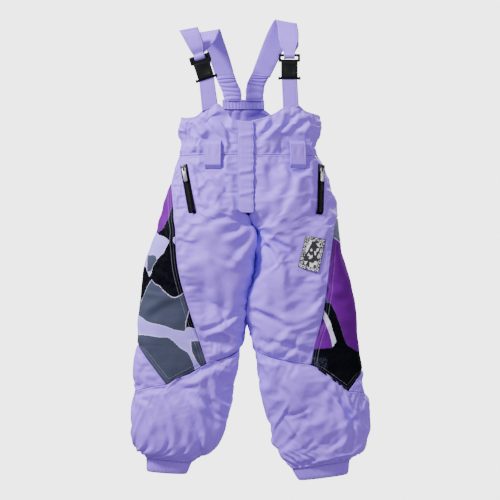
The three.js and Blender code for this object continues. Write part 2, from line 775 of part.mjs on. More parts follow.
// The straps' stations are set out for this body depth, and move out with the body when it is deeper.
const drawnDepth = 110;
const outWithBody = (y) => y + THREE.MathUtils.clamp(y / 34, -1, 1) * (bodyDepth - drawnDepth) / 2;
const station = ([xa, za, xb, zb, y]) => [at(xa, outWithBody(y), za), at(xb, outWithBody(y), zb)];

// --- Side-release buckles ------------------------------------------------------------------------

const socketDepthInside = buckleDepth - 2 * buckleWall;
const socketWidthInside = buckleWidth - 2 * buckleWall;
const socketTop = buckleLength / 2;
const ladderFoot = socketTop + clearance;
const ladderHeight = 4 + ladderSlot + ladderBar;
const ladderBarZ = ladderFoot + ladderHeight - ladderBar / 2;
const buckleBarZ = -socketTop - 1.5;

function buckleSocket() {
  const shell = box(buckleWidth, buckleDepth, buckleLength);
  const hollow = box(socketWidthInside, socketDepthInside, buckleLength, 0, 0, buckleWall + 2);
  const windows = box(buckleWidth + 4, socketDepthInside - 0.8, 11, 0, 0, -2);
  const recess = box(20, 1.2, 20, 0, -buckleDepth / 2);
  const bar = new THREE.CylinderGeometry(1.9, 1.9, ladderWidth - 2, 10)
    .rotateZ(Math.PI / 2)
    .translate(0, 0, buckleBarZ + 0.4);
  return join(cut(cut(cut(shell, hollow), windows), recess), bar);
}

function bucklePlug() {
  const frame = box(ladderWidth, ladderDepth, ladderHeight, 0, 0, ladderFoot + ladderHeight / 2);
  const slotZ = ladderFoot + 4 + ladderSlot / 2;
  const slot = box(ladderWidth - 6, 12, ladderSlot, 0, 0, slotZ);
  const tongue = box(5, 2.6, 20, 0, 0, ladderFoot - 9.5);
  return join(cut(frame, slot), tongue);
}

// One spring arm: a bar that widens to a thumb pad, clear of the socket by a running gap.
function buckleArm(sign) {
  const outer = socketWidthInside / 2 - 0.6;
  const length = 20;
  const outline = new THREE.Shape([[outer - armWidth - 1.5, 0], [outer - 1.5, 0], [outer - 1, -6], [outer, -10],
    [outer, -18], [outer - 1, -length], [outer - armWidth, -length], [outer - armWidth - 1, -8]]
    .map(([x, z]) => new THREE.Vector2(sign * x, z)));
  return new THREE.ExtrudeGeometry(outline, { depth: 3.4, bevelEnabled: false })
    .translate(0, 0, -1.7)
    .rotateX(Math.PI / 2)
    .translate(0, 0, ladderFoot - clearance);
}

function buckle(name, x, y, z, lean) {
  const frame = new THREE.Group();
  frame.name = `buckle_${name}_frame`;
  frame.position.set(x, outWithBody(y), z);
  frame.rotation.y = toRadians(lean);
  group.add(frame);
  add(`buckle_socket_${name}`, buckleSocket(), 'black', frame);
  add(`buckle_plug_${name}`, bucklePlug(), 'black', frame);
  add(`buckle_arm_inner_${name}`, buckleArm(name === 'right' ? 1 : -1), 'black', frame);
  add(`buckle_arm_outer_${name}`, buckleArm(name === 'right' ? -1 : 1), 'black', frame);
  frame.updateWorldMatrix(true, false);
  return (a, b, c) => at(a, b, c).applyMatrix4(frame.matrixWorld);
}

// The strap comes down on one side of the ladder bar, turns round it and goes up on the other.
function throughLadder(inBuckle, side, width) {
  const reach = ladderDepth / 2 + 1 + strapWall / 2;
  return [50, 0, -45, -90, -135, -180, -230].map((angle) => {
    const turn = toRadians(angle);
    const y = side * reach * Math.cos(turn);
    const z = ladderBarZ + reach * Math.sin(turn);
    return [inBuckle(-width / 2, y, z), inBuckle(width / 2, y, z)];
  });
}

function strapSet(name, { gather, fold, tail, foot, inBuckle, tailSide }) {
  const gatherPath = gather.map(station);
  add(`strap_gather_${name}`, casing(gatherPath, 5, gatherDepth, gatherWall), 'shell');
  const elasticPath = gatherPath.map(([a, b]) => {
    const middle = a.clone().add(b).multiplyScalar(0.5);
    const half = b.clone().sub(a).normalize().multiplyScalar(backElasticWidth / 2);
    return [middle.clone().sub(half), middle.clone().add(half)];
  });
  add(`strap_elastic_${name}`, ribbon(elasticPath, 4, elasticWall, 0.02, 0.98), 'elastic');
  const path = [...fold.map(station), ...throughLadder(inBuckle, -tailSide, 27), ...tail.map(station)];
  add(`strap_${name}`, ribbon(path, 34, strapWall), 'shell');
  const half = lowerStrapWidth / 2;
  const strapTop = buckleBarZ - 2.2;
  add(`strap_lower_${name}`, ribbon([[inBuckle(-half, 0, strapTop), inBuckle(half, 0, strapTop)], ...foot.map(station)],
    3, strapWall), 'shell');
}

// --- The whole garment ---------------------------------------------------------------------------

const edgesRight = kiteEdges(torsoRight, legRight, kiteRight);
const edgesLeft = kiteEdges(torsoLeft, legLeft, kiteLeft);
const slitRight = pocket('right', torsoRight, -133, -114);
const slitLeft = pocket('left', torsoLeft, 143, 139);
const hipFrontRight = frontPanels('right', torsoRight, frontZipX - frontSlot / 2, edgesRight);
const hipFrontLeft = frontPanels('left', torsoLeft, frontZipX + frontSlot / 2, edgesLeft);
add('hip_front_right', cut(hipFrontRight, slitRight), 'shell');
add('hip_front_left', cut(hipFrontLeft, slitLeft), 'shell');
hipPanels('right', torsoRight, edgesRight, 3);
hipPanels('left', torsoLeft, edgesLeft, 4);
backBib();
waistElastic();
torsoLining();
flap();
frontZip();
beltLoop('right', torsoRight, -73, waistZ + 29);
beltLoop('left', torsoLeft, 94, waistZ + 29);

leg('right', legRight, edgesRight, cuffZ);
leg('left', legLeft, edgesLeft, down(leftCuff));
label();

const inRight = buckle('right', -92, -40, -110, -18);
const inLeft = buckle('left', 78.5, -40, -109, 0);
strapSet('right', {
  gather: [[-53, -159.4, -17, -159.4, 37], [-58, -142, -18, -142, 36.5], [-67, -122, -27, -121, 34],
    [-71, -111, -31, -109, 32]],
  fold: [[-71.2, -110.5, -31.2, -108.5, 31.9], [-80, -84, -40, -80, 26], [-95, -44, -55, -36, 13], [-101, -28, -61, -21, 0],
    [-99, -38, -65, -34, -15], [-98, -56, -72, -52, -30]],
  tail: [[-120, -70, -92, -62, -47], [-130, -50, -99, -44, -48], [-140, -32, -106, -27, -46]],
  foot: [[-94, -187.2, -63, -173.9, -34.5]],
  inBuckle: inRight,
  tailSide: -1,
});
strapSet('left', {
  gather: [[-10, -159.4, 27, -159.4, 37], [-7, -128, 31, -130, 36.5], [0, -112, 38, -116, 34],
    [4, -104, 42, -110, 32]],
  fold: [[4.2, -103.5, 42.2, -109.5, 31.9], [15, -76, 56, -84, 26], [37, -22, 82, -30, 12], [50, -2, 93, -10, 0],
    [55, -16, 96, -22, -18], [58, -48, 97, -48, -34]],
  tail: [[60, -60, 97, -60, -33], [60, -44, 96, -44, -29]],
  foot: [[66.5, -182.6, 97, -176.2, -34]],
  inBuckle: inLeft,
  tailSide: 1,
});

export default group;
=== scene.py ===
import bpy
import math
import numpy as np
from mathutils import Matrix, Vector, noise


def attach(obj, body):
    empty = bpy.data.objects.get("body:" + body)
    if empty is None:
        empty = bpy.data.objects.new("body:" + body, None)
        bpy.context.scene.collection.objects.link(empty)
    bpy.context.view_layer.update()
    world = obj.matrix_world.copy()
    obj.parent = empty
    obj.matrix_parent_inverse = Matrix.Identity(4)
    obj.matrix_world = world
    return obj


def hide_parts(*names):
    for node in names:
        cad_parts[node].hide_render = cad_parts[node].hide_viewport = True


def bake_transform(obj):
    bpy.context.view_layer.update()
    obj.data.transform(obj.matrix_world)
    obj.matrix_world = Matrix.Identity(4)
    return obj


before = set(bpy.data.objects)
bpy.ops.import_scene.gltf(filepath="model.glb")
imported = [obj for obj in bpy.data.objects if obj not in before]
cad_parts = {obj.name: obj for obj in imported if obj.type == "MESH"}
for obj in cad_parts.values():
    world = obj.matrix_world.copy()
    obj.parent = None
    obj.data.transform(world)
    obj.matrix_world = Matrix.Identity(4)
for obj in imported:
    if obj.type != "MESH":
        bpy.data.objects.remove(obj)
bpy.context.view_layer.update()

# --- Trousers: fronts and backs ------------------------------------------------------------------
# Padded lavender nylon, cut as two fronts and two backs that run from the waist seam over the crotch
# to the knee seam. They are sewn to the printed side panels, to each other and along the inseams.


def curve(points):
    """A smooth line through (height, value) points in millimetres, listed downwards."""
    height = np.array([p[0] for p in points], float) / 1000
    value = np.array([p[1] for p in points], float) / 1000
    above = np.maximum(np.arange(len(points)) - 1, 0)
    below = np.minimum(np.arange(len(points)) + 1, len(points) - 1)
    slope = (value[below] - value[above]) / (height[below] - height[above])

    def at(z):
        i = np.clip(np.searchsorted(-height, -np.asarray(z, float), side="right") - 1, 0, len(points) - 2)
        span = height[i + 1] - height[i]
        t = np.clip((z - height[i]) / span, 0, 1)
        rise = t * t * (3 - 2 * t)
        bend = span * t * (1 - t) * ((1 - t) * slope[i] - t * slope[i + 1])
        return value[i] + rise * (value[i + 1] - value[i]) + bend

    return at


def straight(points):
    """A straight-sided line through (height, value) points in millimetres, listed downwards."""
    height = [-p[0] / 1000 for p in points]
    value = [p[1] / 1000 for p in points]
    return lambda z: np.interp(-np.asarray(z, float), height, value)


torso_left = curve([(-138, -140), (-198, -139), (-230, -145), (-259, -138), (-300, -151), (-349, -165),
                    (-420, -185)])
torso_right = curve([(-138, 140), (-198, 142), (-230, 141), (-264, 132), (-300, 150), (-349, 163),
                     (-420, 177)])
torso_shape = {"left": torso_left, "right": torso_right, "slant": lambda z: 0 * z,
               "depth": straight([(-138, 38.5), (-198, 42), (-420, 55), (-460, 55)])}
torso = {-1: {**torso_shape, "side": -1}, 1: {**torso_shape, "side": 1}}
leg = {
    -1: {
        "side": -1,
        "left": curve([(-420, -185), (-504.6, -212), (-584.5, -222), (-664.4, -227), (-749, -234),
                       (-824.2, -233), (-866.5, -228), (-890, -213), (-918, -211)]),
        "right": curve([(-420, 13), (-452.9, 13), (-520, 6.5), (-584.5, -6), (-655, -18), (-725.5, -33),
                        (-805.4, -52), (-857.1, -70), (-890, -114), (-918, -126)]),
        "depth": curve([(-420, 52), (-584.5, 43), (-725.5, 38), (-852.4, 32), (-890, 22), (-918, 19)]),
        "slant": curve([(-819.5, 0), (-857.1, -30), (-890, -110), (-918, -70)]),
    },
    1: {
        "side": 1,
        "left": curve([(-420, 15), (-452.9, 13), (-520, 4.5), (-584.5, -7), (-617.4, -5), (-655, 5),
                       (-711.4, 15), (-777.2, 31), (-852.4, 46), (-880.6, 68), (-899.4, 82), (-927.4, 96)]),
        "right": curve([(-420, 176), (-476.4, 187), (-546.9, 203), (-608, 214), (-664.4, 218), (-711.4, 226),
                        (-772.5, 233), (-833.6, 232), (-875.9, 224), (-899.4, 205), (-927.4, 200)]),
        "depth": curve([(-420, 52), (-584.5, 43), (-725.5, 38), (-866.5, 32), (-899.4, 22), (-927.4, 19)]),
        "slant": curve([(-819.5, 0), (-866.5, 50), (-899.4, 146), (-927.4, 127)]),
    },
}


def power(value, exponent):
    return np.sign(value) * np.abs(value) ** exponent


def section(shape, turn, z, inset=0.0):
    """A point of a hollow shape. The turn is 0 at its outer side, 90 at its front and -90 at its back."""
    angle = np.radians(turn)
    half = (shape["right"](z) - shape["left"](z)) / 2 - inset
    middle = (shape["right"](z) + shape["left"](z)) / 2
    across = shape["side"] * half * power(np.cos(angle), 2 / 2.6)
    out = (shape["depth"](z) - inset) * power(np.sin(angle), 2 / 2.6)
    return np.stack(np.broadcast_arrays(middle + across, -out, z + shape["slant"](z) * across), -1)


def turn_at(shape, z, distance):
    """The turn at a distance in from the outer outline: towards the front, or the back where negative."""
    half = (shape["right"](z) - shape["left"](z)) / 2
    cosine = power(1 - np.abs(distance) / half, 1.3)
    return np.sign(distance) * np.degrees(np.arccos(np.clip(cosine, -1, 1)))


def turn_at_x(shape, z, x, face=1):
    distance = x - shape["left"](z) if shape["side"] < 0 else shape["right"](z) - x
    return face * turn_at(shape, z, distance)


def ease(z, start, end):
    t = np.clip((z - start) / (end - start), 0, 1)
    return t * t * (3 - 2 * t)


# The printed panel's front and back edges, as distances in from the outer outline.
print_front = {-1: straight([(-279, 0), (-335, 2), (-695, 143), (-737, 68)]),
               1: straight([(-279, 0), (-300, 0), (-343, -20), (-697, 101), (-751, 35)])}
print_back = {-1: straight([(-279, 0), (-335, -2), (-590, -60), (-737, 68)]),
              1: straight([(-279, 0), (-300, 0), (-343, -24), (-600, -100), (-751, 35)])}
print_tip = {-1: -0.335, 1: -0.343}
print_corner = {-1: -0.695, 1: -0.697}
print_foot = {-1: -0.737, 1: -0.751}
knee_inseam = -0.664
knee_outline = -0.758
waist = -0.279
fork = 0.014  # where the two legs part, across
forwards = np.array((0, -1, 0))


def fork_edge(z, side, points, weight):
    """Draws the inner edges of both halves to one centre seam above the fork."""
    inseam = leg[side]["right"](z) if side < 0 else leg[side]["left"](z)
    down = ease(z, -0.385, -0.445)
    meeting = ease(z, -0.50, -0.445)
    share = np.where(z > -0.445, down, meeting)
    points[..., 0] += share * (fork - inseam) * weight ** 3
    return points


def trouser_point(side, z, torso_turn, leg_turn, inset=0.0):
    """A point on the trousers, which change from the torso's shape to a leg's at the fork."""
    down = ease(z, -0.385, -0.445)[..., None]
    high = section(torso[side], torso_turn, np.maximum(z, -0.46), inset)
    high[..., 2] = z
    return (1 - down) * high + down * section(leg[side], leg_turn, z, inset)


def knee_seam(side, turn):
    """The height of the knee seam round a leg: it follows the printed panel's foot."""
    corner = turn_at(leg[side], print_corner[side], print_front[side](print_corner[side]))
    foot = turn_at(leg[side], print_foot[side], print_front[side](print_foot[side]))
    turns = [-180, 0, foot, corner, 180]
    heights = [knee_inseam, knee_outline, print_foot[side], print_corner[side], knee_inseam]
    return np.interp(turn, turns, heights)


def front_point(side, u, v):
    """A point of a front: u runs from the printed panel to the centre, v from the waist to the knee."""
    corner = turn_at(leg[side], print_corner[side], print_front[side](print_corner[side]))
    foot_z = knee_seam(side, corner + u * (180 - corner))
    z = waist + v * (foot_z - waist)
    edge = np.maximum(print_front[side](z), -0.03)
    slot = (0.0075 + 0.0025 * ease(z, -0.330, -0.350)) * (1 - ease(z, -0.392, -0.400))
    inner = turn_at_x(torso[side], np.maximum(z, -0.46), -0.006 + side * slot)
    torso_turn = (1 - u) * turn_at(torso[side], np.maximum(z, -0.46), edge) + u * inner
    leg_turn = (1 - u) * turn_at(leg[side], np.minimum(z, -0.40), edge) + u * 180
    return fork_edge(z, side, trouser_point(side, z, torso_turn, leg_turn), u)


def back_point(side, u, v):
    """A point of a back: u runs from the printed panel round to the centre of the back."""
    foot = turn_at(leg[side], print_foot[side], print_back[side](print_foot[side]))
    foot_z = knee_seam(side, foot + u * (-180 - foot))
    z = waist + v * (foot_z - waist)
    edge = print_back[side](z)
    inner = turn_at_x(torso[side], np.maximum(z, -0.46), 0.003, -1)
    torso_turn = (1 - u) * turn_at(torso[side], np.maximum(z, -0.46), edge) + u * inner
    leg_turn = (1 - u) * turn_at(leg[side], np.minimum(z, -0.40), edge) - u * 180
    return fork_edge(z, side, trouser_point(side, z, torso_turn, leg_turn), u)


def arc(points, axis):
    """The distance along the rows or columns of a grid of points."""
    steps = np.linalg.norm(np.diff(points, axis=axis), axis=-1)
    total = np.cumsum(steps, axis=axis)
    start = np.zeros_like(np.take(total, [0], axis))
    return np.concatenate([start, total], axis)


def outward(points):
    """The unit normals of a grid of points."""
    normal = np.cross(np.gradient(points, axis=1), np.gradient(points, axis=0))
    return normal / np.maximum(np.linalg.norm(normal, axis=-1, keepdims=True), 1e-9)


def set_float(mesh, name, values):
    attribute = mesh.attributes.new(name, "FLOAT", "POINT")
    attribute.data.foreach_set("value", np.asarray(values, np.float32).ravel())


def grid_piece(name, points, wraps=False):
    """A mesh from a grid of points, with its arc lengths as UV and its distance from each sewn border."""
    if wraps:
        points = np.concatenate([points, points[:, :1]], 1)
    rows, columns = points.shape[:2]
    along, down = arc(points, 1), arc(points, 0)
    kept = columns - 1 if wraps else columns
    r, c = np.mgrid[0:rows - 1, 0:columns - 1].reshape(2, -1)
    corners = np.stack([(r, r, r + 1, r + 1), (c, c + 1, c + 1, c)], -1).transpose(1, 0, 2)
    index = corners[..., 0] * kept + corners[..., 1] % kept
    mesh = bpy.data.meshes.new(name)
    mesh.from_pydata(points[:, :kept].reshape(-1, 3).tolist(), [], index.tolist())
    uv = mesh.uv_layers.new(name="UVMap")
    at = tuple(corners.reshape(-1, 2).T)
    uv.data.foreach_set("uv", np.stack([along[at], down[at]], -1).astype(np.float32).ravel())
    set_float(mesh, "side_edge", np.minimum(along, along[:, -1:] - along)[:, :kept])
    set_float(mesh, "end_edge", np.minimum(down, down[-1:] - down)[:, :kept])
    mesh.shade_smooth()
    mesh.update()
    piece = bpy.data.objects.new(name, mesh)
    bpy.context.scene.collection.objects.link(piece)
    return piece


# Folds: where each starts and ends across and up, its width and its height, in millimetres.
front_folds = [
    (-90, -200, -38, -278, 7, 4.0), (-112, -210, -74, -268, 8, 3.0), (-50, -206, -24, -262, 6, 3.0),
    (66, -206, 18, -256, 7, 4.2), (120, -218, 76, -254, 8, 3.2), (40, -196, 14, -238, 6, 3.0),
    (96, -206, 60, -236, 6, 2.2), (-66, -212, -46, -240, 5, 2.0), (-56, -286, -32, -350, 9, 2.6),
    (24, -288, 12, -372, 9, 2.2), (100, -306, 68, -400, 11, 2.6), (-96, -300, -60, -392, 11, 2.4),
    (10, -414, -52, -452, 9, 4.2), (4, -410, -76, -414, 8, 3.4), (8, -420, -38, -500, 8, 3.6),
    (18, -414, 84, -440, 9, 3.8), (20, -420, 104, -482, 9, 3.6), (20, -428, 72, -524, 8, 3.2),
    (-104, -416, -60, -398, 8, 2.6), (88, -408, 46, -386, 8, 2.2), (-128, -424, -96, -410, 7, 2.2),
    (-96, -470, -70, -620, 14, 3.0), (60, -520, 74, -640, 13, 2.6), (-40, -540, -62, -640, 12, 2.6),
    (-28, -600, -96, -640, 8, 2.6), (14, -580, 92, -620, 9, 2.4), (40, -640, 120, -660, 8, 2.4),
    (144, -732, 224, -824, 6, 4.6), (60, -720, 108, -800, 9, 2.8), (100, -770, 150, -884, 7, 3.8),
    (170, -760, 182, -868, 8, 3.2), (206, -800, 196, -880, 7, 2.8), (70, -800, 116, -890, 7, 2.8),
    (-168, -768, -156, -884, 6, 5.0), (-120, -758, -92, -870, 8, 3.6), (-72, -738, -64, -830, 9, 3.0),
    (-206, -770, -196, -872, 8, 3.2), (-140, -800, -128, -880, 6, 2.6), (-60, -700, -130, -740, 8, 2.6),
    (-190, -720, -140, -760, 8, 2.2), (-216, -600, -150, -560, 10, 1.8), (190, -560, 130, -520, 10, 1.8),
]


def seeded_folds(seed, count, slope):
    """Folds at settled places all over the garment, mostly leaning one way on each side of the middle."""
    chance = np.random.default_rng(seed)
    folds = []
    for _ in range(count):
        x, z = chance.uniform(-215, 215), chance.uniform(-875, -215)
        lean = math.copysign(slope, x) * chance.uniform(0.2, 1.6)
        length = chance.uniform(25, 80)
        dx, dz = length * math.cos(lean), length * math.sin(lean)
        folds.append((x, z, x - dx, z - dz, chance.uniform(4, 9), chance.uniform(0.7, 2.0)))
    return folds


back_folds = [(-x1, z1 - 6, -x2, z2 - 4, w, h * 0.9) for x1, z1, x2, z2, w, h in front_folds[8:]]
fold_lists = {1: front_folds + seeded_folds(3, 90, 0.75), -1: back_folds + seeded_folds(5, 110, 0.6)}


def fold_height(points, face):
    """How far the folds of the front or the back lift the cloth, in metres."""
    x, z = points[..., 0] * 1000, points[..., 2] * 1000
    total = np.zeros_like(x)
    for x1, z1, x2, z2, width, height in fold_lists[face]:
        dx, dz = x2 - x1, z2 - z1
        length = math.hypot(dx, dz)
        share = ((x - x1) * dx + (z - z1) * dz) / length ** 2
        bow = 0.07 * length * np.sin(np.pi * np.clip(share, 0, 1))
        across = ((x - x1) * dz - (z - z1) * dx) / length + bow
        taper = np.clip(1 - ((share - 0.5) / 0.62) ** 2, 0, 1) ** 1.2
        ridge = np.exp(-(across / width) ** 2) - 0.6 * np.exp(-((across - 1.5 * width) / (0.9 * width)) ** 2)
        total += height * taper * ridge
    depth = np.clip(-face * points[..., 1] / 0.03, 0, 1)
    return 1.7 * total * depth / 1000


def roughly(points, scale, seed):
    """Smooth noise at each point, from about -1 to 1."""
    flat = points.reshape(-1, 3) * scale + seed
    return np.array([noise.noise(Vector(p)) for p in flat]).reshape(points.shape[:-1]) * 2


def puckers(along, edge, pitch, height, reach):
    """Small ripples that a seam draws up, dying away from it."""
    wave = np.sin(2 * np.pi * along / pitch + 1.7 * np.sin(along * 61) + 0.9 * np.sin(along * 143 + 2))
    return height * wave * np.exp(-np.maximum(edge - 0.002, 0) / reach) * np.clip(edge / 0.004, 0, 1)


# Where something is sewn on or lies over the front: a line across and up, and its reach, in millimetres.
flat_places = [(-7, -212, -7, -395, 19), (-133, -296, -114, -398, 11), (143, -296, 139, -398, 11),
               (-73, -256, -73, -300, 19), (94, -256, 94, -300, 19), (118, -466, 127, -490, 30)]


def flattened(points):
    """1 where something sewn on keeps the cloth flat, and 0 away from it."""
    x, z = points[..., 0] * 1000, points[..., 2] * 1000
    held = np.zeros_like(x)
    for x1, z1, x2, z2, reach in flat_places:
        dx, dz = x2 - x1, z2 - z1
        share = np.clip(((x - x1) * dx + (z - z1) * dz) / (dx * dx + dz * dz), 0, 1)
        away = np.hypot(x - x1 - share * dx, z - z1 - share * dz)
        held = np.maximum(held, ease(away, reach + 9, reach - 1))
    return held * (points[..., 1] < 0.01)


def rumple(points, sides=0.0008, top=0.0008, foot=0.0008, swell=0.0022, folds=1.0, pleats=0.0):
    """Lifts a grid of points into folds, slack and seam puckers, and leaves its borders in place."""
    along, down = arc(points, 1), arc(points, 0)
    side_edge = np.minimum(along, along[:, -1:] - along)
    top_edge, foot_edge = down, down[-1:] - down
    edge = np.minimum(side_edge, np.minimum(top_edge, foot_edge))
    free = ease(edge, 0, 0.012) * (1 - flattened(points))
    lift = folds * (fold_height(points, 1) + fold_height(points, -1))
    lift += 0.0016 * roughly(points, 16, 3.1) + 0.0009 * roughly(points, 42, 8.2)
    lift += swell * ease(edge, 0, 0.02)
    lift += puckers(down, side_edge, 0.013, sides, 0.010)
    lift += puckers(along, top_edge, 0.012, top, 0.012) + puckers(along, foot_edge, 0.012, foot, 0.012)
    lift += puckers(along, foot_edge, 0.027, pleats, 0.045)
    lift *= free
    return points + outward(points) * lift[..., None]


def middle_line(points, side):
    """The middle of the torso or of a leg, at each point's height."""
    z = points[..., 2]
    middle = (leg[side]["left"](z) + leg[side]["right"](z)) / 2
    return np.stack([np.where(z > -0.40, side * 0.03, middle), 0 * z, z], -1)


def turned_to(points, way):
    """The same grid, with its columns turned round where its normals would point against a way."""
    return points if np.sum(outward(points) * way) > 0 else points[:, ::-1]


def facing_out(points, side):
    return turned_to(points, points - middle_line(points, side))


def cloth_piece(name, points, side, wraps=False, **rumpled):
    """A rumpled fabric panel from a grid of points."""
    ready = facing_out(points, side)
    if wraps:
        ready = ready[:, :-1]
        closed = np.concatenate([ready, ready[:, :1]], 1)
        return grid_piece(name, rumple(closed, **rumpled)[:, :-1], wraps=True)
    return grid_piece(name, rumple(ready, **rumpled))


def mesh_grid(rows, columns):
    return np.meshgrid(np.linspace(0, 1, columns + 1), np.linspace(0, 1, rows + 1))


class Value:
    """A shader value that sums and products can be written with."""

    def __init__(self, finish, socket):
        self.finish, self.socket = finish, socket

    def maths(self, operation, *others):
        return self.finish.node("Math", {"operation": operation}, self, *others)

    def __add__(self, other):
        return self.maths("ADD", other)

    def __sub__(self, other):
        return self.maths("SUBTRACT", other)

    def __mul__(self, other):
        return self.maths("MULTIPLY", other)

    def __truediv__(self, other):
        return self.maths("DIVIDE", other)

    def __rsub__(self, other):
        return self.finish.node("Math", {"operation": "SUBTRACT"}, other, self)

    __radd__, __rmul__ = __add__, __mul__

    def sine(self):
        return self.maths("SINE")

    def above(self, limit, soft=0.0004):
        """1 where the value is over the limit, with a soft edge."""
        smooth = {"interpolation_type": "SMOOTHSTEP"}
        return self.finish.node("MapRange", smooth, self, limit - soft, limit + soft)

    def below(self, limit, soft=0.0004):
        return 1 - self.above(limit, soft)

    def near(self, place, reach, soft=0.0003):
        """1 within reach of a place."""
        return (self - place).maths("ABSOLUTE").below(reach, soft)


class Finish:
    """A material on the Principled shader. Named constants are set on the shader's own sockets."""

    def __init__(self, name, **constants):
        self.material = bpy.data.materials.new(name)
        self.material.use_nodes = True
        self.nodes, self.links = self.material.node_tree.nodes, self.material.node_tree.links
        self.shader = self.nodes["Principled BSDF"]
        for key, value in constants.items():
            self.shader.inputs[key.replace("_", " ")].default_value = value

    def put(self, socket, value):
        if isinstance(value, Value):
            self.links.new(value.socket, socket)
        else:
            socket.default_value = value

    def node(self, kind, settings, *inputs, out=0, **named):
        made = self.nodes.new("ShaderNode" + kind)
        for key, value in settings.items():
            setattr(made, key, value)
        for i, value in enumerate(inputs):
            self.put(made.inputs[i], value)
        for key, value in named.items():
            self.put(made.inputs[key.replace("_", " ")], value)
        return Value(self, made.outputs[out])

    def object_place(self):
        """Across, depth and height in the garment's own frame."""
        vector = self.node("TexCoord", {}, out=3)
        split = self.nodes.new("ShaderNodeSeparateXYZ")
        self.put(split.inputs[0], vector)
        return [Value(self, o) for o in split.outputs], vector

    def cloth_place(self):
        vector = self.node("UVMap", {"uv_map": "UVMap"})
        split = self.nodes.new("ShaderNodeSeparateXYZ")
        self.put(split.inputs[0], vector)
        return Value(self, split.outputs[0]), Value(self, split.outputs[1]), vector

    def attribute(self, name):
        return self.node("Attribute", {"attribute_name": name}, out=2)

    def noise(self, vector, scale, detail=2.0, roughness=0.5):
        return self.node("TexNoise", {}, Vector=vector, Scale=scale, Detail=detail, Roughness=roughness)

    def blend(self, factor, a, b):
        made = self.nodes.new("ShaderNodeMix")
        made.data_type = "RGBA"
        for index, value in ((0, factor), (6, a), (7, b)):
            self.put(made.inputs[index], value)
        return Value(self, made.outputs[2])

    def finish(self, colour, roughness, height, distance, metallic=None):
        self.put(self.shader.inputs["Base Color"], colour)
        self.put(self.shader.inputs["Roughness"], roughness)
        if metallic is not None:
            self.put(self.shader.inputs["Metallic"], metallic)
        bump = self.node("Bump", {}, Strength=1.0, Distance=distance, Height=height)
        self.put(self.shader.inputs["Normal"], bump)
        return self.material


def rgb(red, green, blue):
    """A colour for a shader, from its values on a screen out of 255."""
    shares = [value / 255 for value in (red, green, blue)]
    linear = [c / 12.92 if c <= 10 / 255 else ((c + 0.055) / 1.055) ** 2.4 for c in shares]
    return (*linear, 1.0)


def weave(finish):
    """The fine plain weave of nylon as a height, in millimetres, and its slow unevenness."""
    u, v, vector = finish.cloth_place()
    threads = (u * 9000).sine() * 0.5 + (v * 9000).sine() * 0.5
    slub = finish.noise(vector, 900, 2)
    crinkle = finish.noise(vector, 130, 4, 0.6)
    return threads * 0.035 + slub * 0.05 + crinkle * 0.35, crinkle


stitch_inset, stitch_pitch = 0.0042, 420


def stitching(finish):
    """Topstitches beside the sewn borders: how much of a point is thread, the groove and the seam."""
    u, v, _ = finish.cloth_place()
    sides, ends = finish.attribute("side_edge"), finish.attribute("end_edge")
    dash_side = (v * (6.283 * stitch_pitch)).sine().above(-0.45, 0.25)
    dash_end = (u * (6.283 * stitch_pitch)).sine().above(-0.45, 0.25)
    side_thread, end_thread = (edge.near(stitch_inset, 0.00035) for edge in (sides, ends))
    thread = (side_thread * dash_side).maths("MAXIMUM", end_thread * dash_end)
    side_groove, end_groove = (edge.near(stitch_inset, 0.0008, 0.0012) for edge in (sides, ends))
    groove = side_groove.maths("MAXIMUM", end_groove)
    seam = sides.below(0.0004, 0.0012).maths("MAXIMUM", ends.below(0.0004, 0.0012))
    return thread, groove, seam


def shell_material(name):
    """Lavender nylon, a little uneven, with its topstitching and the shadow along its seams."""
    cloth = Finish(name, IOR=1.45, Sheen_Weight=0.08, Sheen_Roughness=0.4)
    height, crinkle = weave(cloth)
    colour = cloth.blend(crinkle.above(0.5, 0.3) * 0.5, rgb(150, 106, 246), rgb(160, 118, 252))
    thread, groove, seam = stitching(cloth)
    # Painted shade: the stitch grooves and the seams are darkened.
    colour = cloth.blend(groove * 0.45 + seam * 0.4, colour, rgb(104, 70, 184))
    colour = cloth.blend(thread, colour, rgb(178, 150, 248))
    height = height - groove * 0.5 - seam + thread * 0.35
    return cloth.finish(colour, 0.52 + crinkle * 0.14, height, 0.001)


shell = shell_material("lavender_nylon")
fabric = []


def make_cloth(piece, material, node_names, body, thickness=0.003, settles=True):
    """Gives a fabric piece its finish, hides the CAD nodes it stands for, and keeps its body, thickness and
    whether it settles.
    """
    piece.data.materials.append(material)
    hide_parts(*node_names)
    entry = {"piece": piece, "body": body, "thickness": thickness, "settles": settles, "centred": False}
    fabric.append(entry)
    return entry


for side, word in ((-1, "right"), (1, "left")):
    across, down = mesh_grid(92, 40)
    front = cloth_piece(f"trouser_front_{word}", front_point(side, across, down), side, top=0.0026)
    make_cloth(front, shell, [f"hip_front_{word}", f"leg_front_{word}"], ("torso", f"leg_{word}"))
    across, down = mesh_grid(96, 44)
    back = cloth_piece(f"trouser_back_{word}", back_point(side, across, down), side, top=0.0016)
    make_cloth(back, shell, [f"hip_back_{word}", f"leg_back_{word}"], ("torso", f"leg_{word}"))

# --- Printed side panels -------------------------------------------------------------------------
# A kite of printed nylon let into the outer side of each thigh, with torn blocks of colour on it.
# It is sewn in all round and topstitched in pale thread.


def print_point(side, across, down):
    z = print_tip[side] + down * (print_foot[side] - print_tip[side])
    front, back = print_front[side](z), print_back[side](z)
    high = np.maximum(z, -0.46)
    torso_turn = (1 - across) * turn_at(torso[side], high, front) + across * turn_at(torso[side], high, back)
    low = np.minimum(z, -0.40)
    leg_turn = (1 - across) * turn_at(leg[side], low, front) + across * turn_at(leg[side], low, back)
    return trouser_point(side, z, torso_turn, leg_turn)


